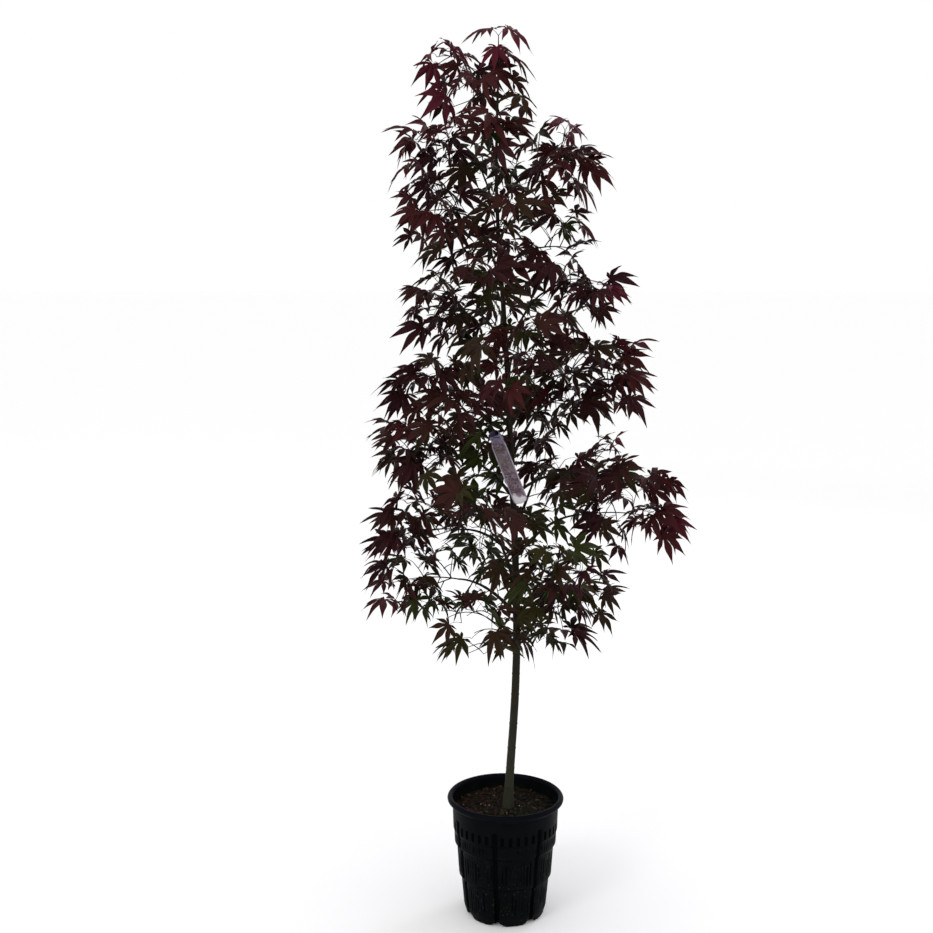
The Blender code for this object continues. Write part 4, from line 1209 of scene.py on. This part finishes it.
def in_full_place(point):
    """Whether a point shows where the crown is full."""
    x, z = picture_place(point)
    return any(math.hypot(x - fx, z - fz) < FULL_RADIUS for fx, fz in FULL_PLACES)


def headed(out, turn, pitch):
    """Direction turned about the vertical from out, and pitched up, in degrees."""
    flat = Matrix.Rotation(math.radians(turn), 3, "Z") @ out
    return flat * math.cos(math.radians(pitch)) + UP * math.sin(math.radians(pitch))


def within(place, box):
    """Whether a place lies in a box."""
    low, high = box
    return all(low[i] <= place[i] <= high[i] for i in range(3))


class Crop:
    """What the sprays grow: twigs, stalks and the place of each leaf."""

    def __init__(self, leaf, rng):
        self.leaf, self.rng = leaf, rng
        self.twigs, self.stalks = Gathered(), Gathered()
        self.hearts, self.leaves = np.zeros((MOST_LEAVES, 3)), []

    def veils(self, place, width):
        """Number of leaves in line with a place, from the front and a side, and distances squared."""
        away = self.hearts[:len(self.leaves)] - np.array(place)
        front = (away[:, 0] ** 2 + away[:, 2] ** 2 < width**2).sum()
        side = (away[:, 1] ** 2 + away[:, 2] ** 2 < width**2).sum()
        return front, side, (away**2).sum(axis=1)

    def crowded(self, heart):
        """Whether another leaf's heart is too near, or too many lie one behind another."""
        front, side, away = self.veils(heart, VEIL_WIDTH)
        most_front, most_side = MOST_IN_LINE
        inner = abs(heart.x) < INNER_WIDTH and heart.z < INNER_TOP
        if inner or in_full_place(heart):
            most_front += 1
        return front >= most_front or side >= most_side or (away < self.leaf.nearest**2).any()

    def lightest(self, spray, bud, turn, pitch, length, box):
        """Turn and pitch, of a few near those wanted, at which a twig reaches the most light."""
        best = None
        for step in range(LIGHT_TRIES):
            wide = LIGHT_TURN if step else 0
            new = turn + self.rng.uniform(-wide, wide), pitch + self.rng.uniform(-wide, wide)
            end = bud + headed(spray.out, *new) * (length + LEAF_FORWARD)
            front, side, away = self.veils(end, 1.5 * VEIL_WIDTH)
            shade = front + SIDE_SHADE * side + NEAR_SHADE * (away < NEIGHBOURHOOD**2).sum()
            barred = in_opening(end, 0.02) + (not within(end, box))
            shade += BARRED * barred - WANTED * in_full_place(end)
            if best is None or shade < best[0]:
                best = shade, new
        return best[1]

    def add_twig(self, points, root, end):
        """Round twig along points."""
        radii = [root + (end - root) * k / (len(points) - 1) for k in range(len(points))]
        self.twigs.add(*tube(points, radii, 7))

    def add_leaf(self, bud, aim, pitch, box, redness, node, reach=1.0, spread_by=1.0):
        """Try a few attitudes for one leaf on its stalk and keep the first that fits."""
        rng, leaf = self.rng, self.leaf
        for _ in range(LEAF_TRIES):
            turn = aim[1] + rng.uniform(-STALK_TURN, STALK_TURN) * spread_by
            rise = pitch + rng.uniform(-STALK_RISE, STALK_RISE) * spread_by
            stalk = headed(aim[0], turn, rise) * leaf.stalk * rng.uniform(*STALK_SIZES) * reach
            droop = max(rise - rng.uniform(0, BLADE_DROP), LOWEST_BLADE)
            forward = headed(aim[0], turn + rng.uniform(-BLADE_TURN, BLADE_TURN) * spread_by, droop)
            size = leaf.length * rng.uniform(*BLADE_SIZES)
            heart = bud + stalk
            fall = UP * leaf.fall * size
            tips = [heart + forward * size - fall]
            tips += [heart + headed(aim[0], turn + w, droop * 0.8) * size * 0.85 - fall for w in (-40, 40)]
            if not all(within(tip, box) for tip in tips):
                continue
            if self.crowded(heart + forward * size * BLADE_MIDDLE):
                continue
            if in_opening(heart + (forward * size - fall) * 0.4, 0.024):
                continue
            self.place_leaf(bud, stalk, forward, size, redness, node)
            return True
        return False

    def place_leaf(self, bud, stalk, forward, size, redness, node, turns=BLADE_TURNS):
        """Record one leaf, its blade turned to the front or to a side, and lay its arched stalk."""
        forward.normalize()
        toward = Vector((0, 1, 0)) if self.rng.random() < FRONT_SHARE else Vector((1, 0, 0))
        level = forward.cross(UP).normalized()
        rolls = [turn + self.rng.uniform(-BLADE_ROLL, BLADE_ROLL) for turn in turns]
        sides = [Matrix.Rotation(math.radians(roll), 3, forward) @ level for roll in rolls]
        side = max(sides, key=lambda way: abs(way.cross(forward).dot(toward)))
        normal = side.cross(forward)
        heart = bud + stalk
        self.hearts[len(self.leaves)] = heart + forward * size * BLADE_MIDDLE
        self.leaves.append((heart, forward, -side, normal, size, redness, node))
        arch = UP * stalk.length * 0.10
        line = [bud, bud + stalk * 0.35 + arch, bud + stalk * 0.72 + arch, heart - normal * 0.0008]
        self.stalks.add(*tube(line, STALK_RADII, 5))


def stem_point(spray, length, share):
    """Point on a spray's stem, which bends down towards its end."""
    run = length * share
    sag = (spray.slope + STEM_FALL) / (2 * length)
    return spray.start + spray.out * run + UP * (spray.slope * run - sag * run * run)


def spray_box(spray):
    """Room that a spray keeps to: its solid's box and a little round it."""
    low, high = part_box(spray.node)
    side = UP.cross(spray.out)
    further = LONGER_SPRAYS.get(spray.node, OUTWARD_ROOM)
    grow = [SIDEWAYS_ROOM * abs(side[i]) + further * abs(spray.out[i]) for i in range(2)]
    grow.append(UPRIGHT_ROOM)
    low = [max(low[i] - grow[i], CAD_BOX[0][i] - PAST_SIDES) for i in range(3)]
    high = [min(high[i] + grow[i], CAD_BOX[1][i] + PAST_SIDES) for i in range(3)]
    low[2] = max(min(low[2], spray.start.z - SPACE_BELOW), CROWN_FOOT)
    high[2] = min(max(high[2], spray.start.z + SPACE_ABOVE), CAD_BOX[1][2] + PAST_TOP)
    return low, high


def redness_of(point, share, rng):
    """How red a spray is, from 0 by the trunk to 1 outside and at the top."""
    up = max((point.z - CROWN_FOOT) / (CAD_BOX[1].z - CROWN_FOOT), 0)
    away = math.hypot(point.x, point.y) / (HALF_CROWN - HALF_TAPER * up)
    gained = RED_OUTWARDS * away + RED_UPWARDS * up**2 + RED_AT_FOOT * max(1 - up, 0) ** 5
    return gained + RED_ALONG * share + RED_START + rng.gauss(0, RED_SPREAD)


def grow_side_twig(crop, spray, bud, turn, pitch, length, box, share):
    """Side twig with its leaves, with finer twigs where it is long, as far out as it bears any."""
    turn, pitch = crop.lightest(spray, bud, turn, pitch, length, box)
    way = headed(spray.out, turn, pitch)
    end = bud + way * length - UP * length * 0.12
    bent = bud.lerp(end, 0.5) + UP * length * 0.06
    if not within(end, box):
        end, bent = bud.lerp(end, 0.6), bud.lerp(bent, 0.6)
    line = [bud, bud.lerp(bent, 0.5) + UP * length * 0.01, bent]
    line += [bent.lerp(end, 0.55) + UP * length * 0.008, end]
    redness = redness_of(end, share, crop.rng)

    def bear(at, aside, rise, reach=1.0):
        """One leaf of the twig, turned aside from its way."""
        return crop.add_leaf(at, (spray.out, turn + aside), rise, box, redness, spray.node, reach)

    bearing_to = len(line) * bear(end, 0, 6, 0.8)
    for hand in (-1, 1):
        outer = bear(end, hand * 50, 12, 0.95)
        inner = length > PAIRED_TWIG and bear(bent, hand * 66, 16)
        bearing_to = max(bearing_to, len(line) * outer, 3 * inner)
    if length > FORKED_TWIG:
        for hand in (-1, 1):
            tip = line[1] + headed(spray.out, turn + hand * 48, pitch + 8) * length * 0.45
            pair = [bear(tip, hand * 40, 8, 0.8), bear(tip, hand * 85, 20, 0.9)]
            if any(pair):
                crop.add_twig([line[1], line[1].lerp(tip, 0.5) + UP * 0.001, tip], *FINE_TWIG_RADII)
                bearing_to = max(bearing_to, 2)
    if bearing_to:
        crop.add_twig(line[:bearing_to], *SIDE_TWIG_RADII)
    return bearing_to > 0


def grow_spray(crop, spray):
    """Stem of one spray and its forks, within its reach."""
    rng = crop.rng
    box = spray_box(spray)
    length = max(spray.run - STEM_SHORTER, SHORTEST_STEM)
    grow_stem(crop, spray, length, box, STICK_ROOT * 1.15)
    hand = rng.choice((-1, 1))
    for (turn, slope, part), least in zip(FORKS, FORK_RUNS):
        if spray.run < least:
            continue
        start = stem_point(spray, length, 0.10)
        out = headed(spray.out, hand * turn + rng.uniform(-8, 8), 0)
        fork = Spray(spray.node, start, out, slope + rng.uniform(-0.15, 0.15), 0, spray.bare)
        grow_stem(crop, fork, length * part, box, STICK_ROOT)


def grow_stem(crop, spray, length, box, root):
    """One stem with its opposite twigs and leaves."""
    rng, leaf = crop.rng, crop.leaf
    count = max(round(length / leaf.spacing), 2)
    line = [stem_point(spray, length, k / count) for k in range(count + 1)]
    tone = redness_of(line[-1], 1.0, rng)
    grown = [crop.add_leaf(line[-1], (spray.out, 0), 0, box, tone, spray.node, 0.8, 0.4)]
    for hand in (-1, 1):
        grown.append(crop.add_leaf(line[-1], (spray.out, hand * 52), 10, box, tone, spray.node))
    leafy = count if any(grown) else 0
    for k in reversed(range(count)):
        bud = line[k].lerp(line[k + 1], 0.5 if k == 0 else 0.1)
        share = k / count
        if share < spray.bare:
            continue
        long = LONGEST_TWIG * (1 - 0.45 * share)
        for hand in (-1, 1):
            flat = k % 2 == 0
            turn = hand * rng.uniform(50, 72) if flat else hand * rng.uniform(10, 40)
            pitch = rng.uniform(-12, 24) if flat else hand * rng.uniform(26, 58)
            twig = grow_side_twig(crop, spray, bud, turn, pitch, long * rng.uniform(0.75, 1.1), box, share)
            tone = redness_of(bud, share, rng)
            turn = hand * rng.uniform(60, 100)
            single = crop.add_leaf(bud, (spray.out, turn), 30, box, tone, spray.node)
            if single or twig:
                leafy = max(leafy, k + 1)
    if leafy:
        points = [stem_point(spray, length, k / (3 * count)) for k in range(3 * leafy + 1)]
        crop.add_twig(points, root, STEM_END)


def grow_spurs(crop, boughs):
    """Short leafy spurs on the outer part of the boughs and on the trunk in the crown."""
    rng = crop.rng
    for bough in boughs:
        node = "foliage_" + bough.name
        for share in SPUR_PLACES:
            at = bough.points[round(share * BOUGH_STEPS)]
            for hand in (-1, 1):
                spot = Spray(node, at, bough.out, 0, 0, 0)
                low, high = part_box(node)
                low = [min(low[i], at[i] - SPUR_ROOM) for i in range(3)]
                high = [max(high[i], at[i] + SPUR_ROOM) for i in range(3)]
                turn, pitch = hand * rng.uniform(48, 80), rng.uniform(-60, 55)
                length = rng.uniform(0.050, 0.100)
                grow_side_twig(crop, spot, at, turn, pitch, length, (low, high), 0.0)
    height, top = SPUR_SPAN
    while height < top:
        centre = trunk_centre(height)
        turn = rng.uniform(0, 360)
        for hand in (0, 180):
            out = headed(Vector((1, 0, 0)), turn + hand, 0)
            at = centre + out * trunk_radius(height) * 0.8
            reach = 0.72 * min(min(tier.reaches) for tier in TIERS if abs(tier.height - height) < 0.085)
            room = Vector((min(reach, WIDEST_SPUR), min(reach, WIDEST_SPUR), SPUR_ROOM))
            box = at - room, at + room
            node = min(FOLIAGE_NODES, key=lambda name: (sum(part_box(name), Vector()) / 2 - at).length)
            spur = Spray(node, at, out, 0, 0, 0)
            pitch, length = rng.uniform(5, 45), rng.uniform(0.045, 0.100)
            grow_side_twig(crop, spur, at, 0, pitch, length, box, 0.0)
        height += rng.uniform(*SPUR_GAPS)


def grow_leader(crop):
    """Last upright shoot of the trunk with its crossed pairs of leaves."""
    node = "foliage_leader"
    foot = trunk_centre(TRUNK_LINE[-1][0])
    line = [foot + UP * LEADER_LENGTH * k / 3 for k in range(4)]
    crop.add_twig(line, TRUNK_TIP_RADIUS * 0.9, 0.0009)
    for k, turn, rise, droop, size in LEADER_LEAVES:
        stalk = headed(Vector((1, 0, 0)), turn, rise) * crop.leaf.stalk * 0.8
        forward = headed(Vector((1, 0, 0)), turn, droop)
        redness = 0.85 + crop.rng.uniform(-0.1, 0.2)
        crop.place_leaf(line[k], stalk, forward, size * crop.leaf.length, redness, node, (0,))


def grow_crop(leaf, rng):
    """Everything that the boughs and the trunk bear."""
    boughs, sprays = limbs()
    crop = Crop(leaf, rng)
    grow_leader(crop)
    for spray in sprays:
        grow_spray(crop, spray)
    grow_spurs(crop, boughs)
    return crop


def build_sprays(context):
    """Every spray's twigs, leaf stalks and leaves, with the leaves gathered by colour."""
    leaf = context.scene.maple_leaves
    bark = context.scene.maple_bark
    rng = random.Random(SPRAY_SEED)
    crop = grow_crop(leaf, rng)
    patterns = [leaf_pattern(leaf, rng) for _ in range(LEAF_KINDS)]
    heaps = {tone: Gathered() for tone in LEAF_TONES}
    owners = {tone: set() for tone in LEAF_TONES}
    for heart, forward, side, normal, size, redness, node in crop.leaves:
        tone = LEAF_TONES[sum(redness > limit for limit in TONE_LIMITS)]
        points, faces = patterns[rng.randrange(LEAF_KINDS)]
        placed = points @ (np.array((forward, side, normal)) * size) + np.array(heart)
        placed[:, 2] -= leaf.fall * size * (points**2).sum(axis=1)
        heaps[tone].add(placed, faces.tolist())
        owners[tone].add(node)
    wood = twig_material("young_wood", bark.twig, 0.08)
    add_piece("twigs", crop.twigs, [wood], FOLIAGE_NODES, 60)
    stalks = twig_material("leaf_stalks", leaf.stalks, 0.06)
    add_piece("leaf_stalks", crop.stalks, [stalks], FOLIAGE_NODES, 60)
    for tone in LEAF_TONES:
        material = blade_material("leaf_" + tone, getattr(leaf, tone))
        add_piece("leaves_" + tone, heaps[tone], [material], sorted(owners[tone]), 30)


# Tag


def tag_frame():
    """Where the tag's loop sits on its bough: middle, along, lift, level."""
    boughs, _ = limbs()
    bough = next(bough for bough in boughs if bough.name == TAG_TIER + "_a")
    spot = TAG_AT * BOUGH_STEPS
    here, after = bough.points[int(spot)], bough.points[int(spot) + 1]
    point = here.lerp(after, spot - int(spot))
    along = (after - here).normalized()
    level = along.cross(UP).normalized()
    lift = level.cross(along)
    radius = bough.radius + (TWIG_RADIUS - bough.radius) * TAG_AT
    inner = TAG_LOOP_RADIUS - TAG_THICKNESS
    return point + lift * (radius * 1.08 + GAP - inner), along, lift, level


def add_tag_loop(parts, middle, along, lift, level):
    """Band that runs round the bough, its edges a little worn."""
    sides = 40
    verts = []
    half_wide = TAG_LOOP_WIDTH / 2
    worn, inner = TAG_LOOP_RADIUS - TAG_WEAR, TAG_LOOP_RADIUS - TAG_THICKNESS
    section = (
        (worn, -1), (TAG_LOOP_RADIUS, -0.96), (TAG_LOOP_RADIUS, 0.96), (worn, 1), (inner, 1), (inner, -1),
    )
    for radius, end in section:
        for i in range(sides):
            angle = 2 * math.pi * i / sides
            arm = lift * math.cos(angle) + level * math.sin(angle)
            verts.append(middle + arm * radius + along * end * half_wide)
    faces = rows_to_faces(len(section), sides)
    last = (len(section) - 1) * sides
    for i in range(sides):
        j = (i + 1) % sides
        faces.append((last + i, last + j, j, i))
    parts.add(verts, faces)


def build_tag(tag):
    """Blank strip on a loop of its own, round at its lower end and gently bowed."""
    middle, along, lift, level = tag_frame()
    parts = Gathered()
    add_tag_loop(parts, middle, along, lift, level)
    head = middle - Vector((0, 1, 0)) * (TAG_LOOP_RADIUS - 1.5 * TAG_THICKNESS)
    down = Vector((math.sin(TAG_LEAN), -math.sin(TAG_FORWARD), -math.cos(TAG_LEAN))).normalized()
    wide = down.cross(-Vector((0, 1, 0))).normalized()
    out = wide.cross(down)
    rows, columns = 66, 13
    for depth in (0.5, -0.5):
        verts = []
        for r in range(rows):
            along_strip = -TAG_OVERLAP + (TAG_LENGTH + TAG_OVERLAP) * r / (rows - 1)
            half = tag_half_width(along_strip)
            bow = tag.bow * math.sin(math.pi * min(max(along_strip / TAG_LENGTH, 0), 1))
            for c in range(columns):
                across = -1 + 2 * c / (columns - 1)
                edge = 0.00018 * (abs(across) > 0.99)
                cup = 0.0006 * (1 - across * across)
                place = head + wide * across * half + down * along_strip
                verts.append(place + out * (bow + cup + depth * TAG_THICKNESS - math.copysign(edge, depth)))
        faces = rows_to_faces(rows, columns, closed=False)
        parts.add(verts, faces if depth < 0 else [face[::-1] for face in faces])
        for r in range(rows - 1):
            for c in (0, columns - 2):
                parts.slots[len(parts.slots) - len(faces) + r * (columns - 1) + c] = 1
    first = parts.count - 2 * rows * columns
    round_strip = [r * columns for r in range(rows)]
    round_strip += [(rows - 1) * columns + c for c in range(1, columns)]
    round_strip += [r * columns + columns - 1 for r in reversed(range(rows - 1))]
    round_strip += reversed(range(1, columns - 1))
    back = first + rows * columns
    steps = zip(round_strip, round_strip[1:] + round_strip[:1])
    rim = [(first + a, first + b, back + b, back + a) for a, b in steps]
    parts.faces += rim
    parts.slots += [1] * len(rim)
    edging = twig_material("tag_edge", tag.edge, 0.3)
    add_piece("tag_strip", parts, [tag_material(tag), edging], ["tag"], 40)


def tag_half_width(along):
    """Half the width of the tag's strip at a distance below its head."""
    if along < TAG_SHOULDER:
        t = max(along, 0) / TAG_SHOULDER
        return (TAG_NECK_WIDTH + (TAG_WIDTH - TAG_NECK_WIDTH) * t * t * (3 - 2 * t)) / 2
    past = max(along - (TAG_LENGTH - TAG_ROUND), 0) / TAG_ROUND
    return TAG_WIDTH / 2 * max(math.sqrt(max(1 - past * past, 0)), 0.02)


# Studio


def add_lamp(name, place, aim, size, power, colour):
    """Large soft lamp that the camera doesn't see."""
    lamp = bpy.data.lights.new(name, "AREA")
    lamp.shape, lamp.size, lamp.energy, lamp.color = "DISK", size, power, colour
    made = bpy.data.objects.new(name, lamp)
    made.location = place
    made.rotation_euler = (Vector(aim) - Vector(place)).to_track_quat("-Z", "Y").to_euler()
    made.visible_camera = False
    bpy.context.scene.collection.objects.link(made)


def build_stage(stage):
    """Pale floor, light from all round, two soft lamps and the camera."""
    scene = bpy.context.scene
    parts = Gathered()
    sides = 64
    angles = np.arange(sides) * 2 * math.pi / sides
    points = [(r * math.cos(a), r * math.sin(a), FLOOR_LEVEL) for r in FLOOR_RADII for a in angles]
    faces = rows_to_faces(len(FLOOR_RADII), sides)
    parts.add(points, [face[::-1] for face in faces] + [tuple(range(sides))])
    mesh = bpy.data.meshes.new("studio_floor")
    mesh.from_pydata(parts.points[0].tolist(), [], parts.faces)
    mesh.materials.append(floor_material(stage))
    floor = bpy.data.objects.new("studio_floor", mesh)
    scene.collection.objects.link(floor)
    world = bpy.data.worlds.new("studio_light")
    world.use_nodes = True
    sky = world.node_tree.nodes["Background"].inputs
    sky["Color"].default_value = (1.0, 1.0, 1.0, 1)
    sky["Strength"].default_value = stage.surround
    scene.world = world
    for name, (place, aim, size, power, colour) in LAMPS.items():
        add_lamp(name, place, aim, size, power * stage.key, colour)
    camera = bpy.data.cameras.new("photo_camera")
    camera.lens, camera.sensor_width = LENS, SENSOR_WIDTH
    camera.clip_end = 200.0
    made = bpy.data.objects.new("photo_camera", camera)
    made.location = EYE
    made.rotation_euler = (AIM - EYE).to_track_quat("-Z", "Y").to_euler()
    scene.collection.objects.link(made)
    scene.camera = made
    scene.view_settings.view_transform = "Standard"


# Operators


class MAPLE_OT_pot(bpy.types.Operator):
    """Build the ribbed nursery pot"""

    bl_idname = "maple.pot"
    bl_label = "Nursery pot"

    def execute(self, context):
        build_pot(context.scene.maple_pot)
        return {"FINISHED"}


class MAPLE_OT_potting_mix(bpy.types.Operator):
    """Build the potting mix with its chips and flecks"""

    bl_idname = "maple.potting_mix"
    bl_label = "Potting mix"

    def execute(self, context):
        build_mix(context.scene.maple_mix)
        return {"FINISHED"}


class MAPLE_OT_trunk(bpy.types.Operator):
    """Build the trunk and its boughs with the bark's relief"""

    bl_idname = "maple.trunk"
    bl_label = "Trunk and boughs"

    def execute(self, context):
        bark = context.scene.maple_bark
        material = trunk_material(bark)
        build_trunk(bark, material)
        build_boughs(material, limbs()[0])
        return {"FINISHED"}


class MAPLE_OT_sprays(bpy.types.Operator):
    """Grow the twigs and leaves of every spray"""

    bl_idname = "maple.sprays"
    bl_label = "Sprays of leaves"

    def execute(self, context):
        build_sprays(context)
        return {"FINISHED"}


class MAPLE_OT_tag(bpy.types.Operator):
    """Hang the blank tag on its bough"""

    bl_idname = "maple.tag"
    bl_label = "Blank tag"

    def execute(self, context):
        build_tag(context.scene.maple_tag)
        return {"FINISHED"}


class MAPLE_OT_stage(bpy.types.Operator):
    """Set the floor, the light and the camera"""

    bl_idname = "maple.stage"
    bl_label = "Studio"

    def execute(self, context):
        build_stage(context.scene.maple_stage)
        return {"FINISHED"}


OPERATORS = (
    MAPLE_OT_pot, MAPLE_OT_potting_mix, MAPLE_OT_trunk, MAPLE_OT_sprays, MAPLE_OT_tag, MAPLE_OT_stage,
)


class MAPLE_PT_build(bpy.types.Panel):
    """Operators and settings of the potted maple"""

    bl_idname = "MAPLE_PT_build"
    bl_label = "Potted maple"
    bl_space_type = "VIEW_3D"
    bl_region_type = "UI"
    bl_category = "Maple"

    def draw(self, context):
        for operator, settings in zip(OPERATORS, SETTINGS):
            box = self.layout.box()
            box.operator(operator.bl_idname)
            group = getattr(context.scene, settings)
            for name in group.__annotations__:
                box.prop(group, name)


def register():
    """Register the settings, operators and panel."""
    for name, group in SETTINGS.items():
        bpy.utils.register_class(group)
        setattr(bpy.types.Scene, name, PointerProperty(type=group))
    for cls in (*OPERATORS, MAPLE_PT_build):
        bpy.utils.register_class(cls)


def unregister():
    """Take them all out again."""
    for cls in (MAPLE_PT_build, *reversed(OPERATORS)):
        bpy.utils.unregister_class(cls)
    for name, group in reversed(SETTINGS.items()):
        delattr(bpy.types.Scene, name)
        bpy.utils.unregister_class(group)


def main():
    """Build every piece in order."""
    register()
    for operator in OPERATORS:
        area, action = operator.bl_idname.split(".")
        getattr(getattr(bpy.ops, area), action)()


if __name__ == "__main__":
    main()
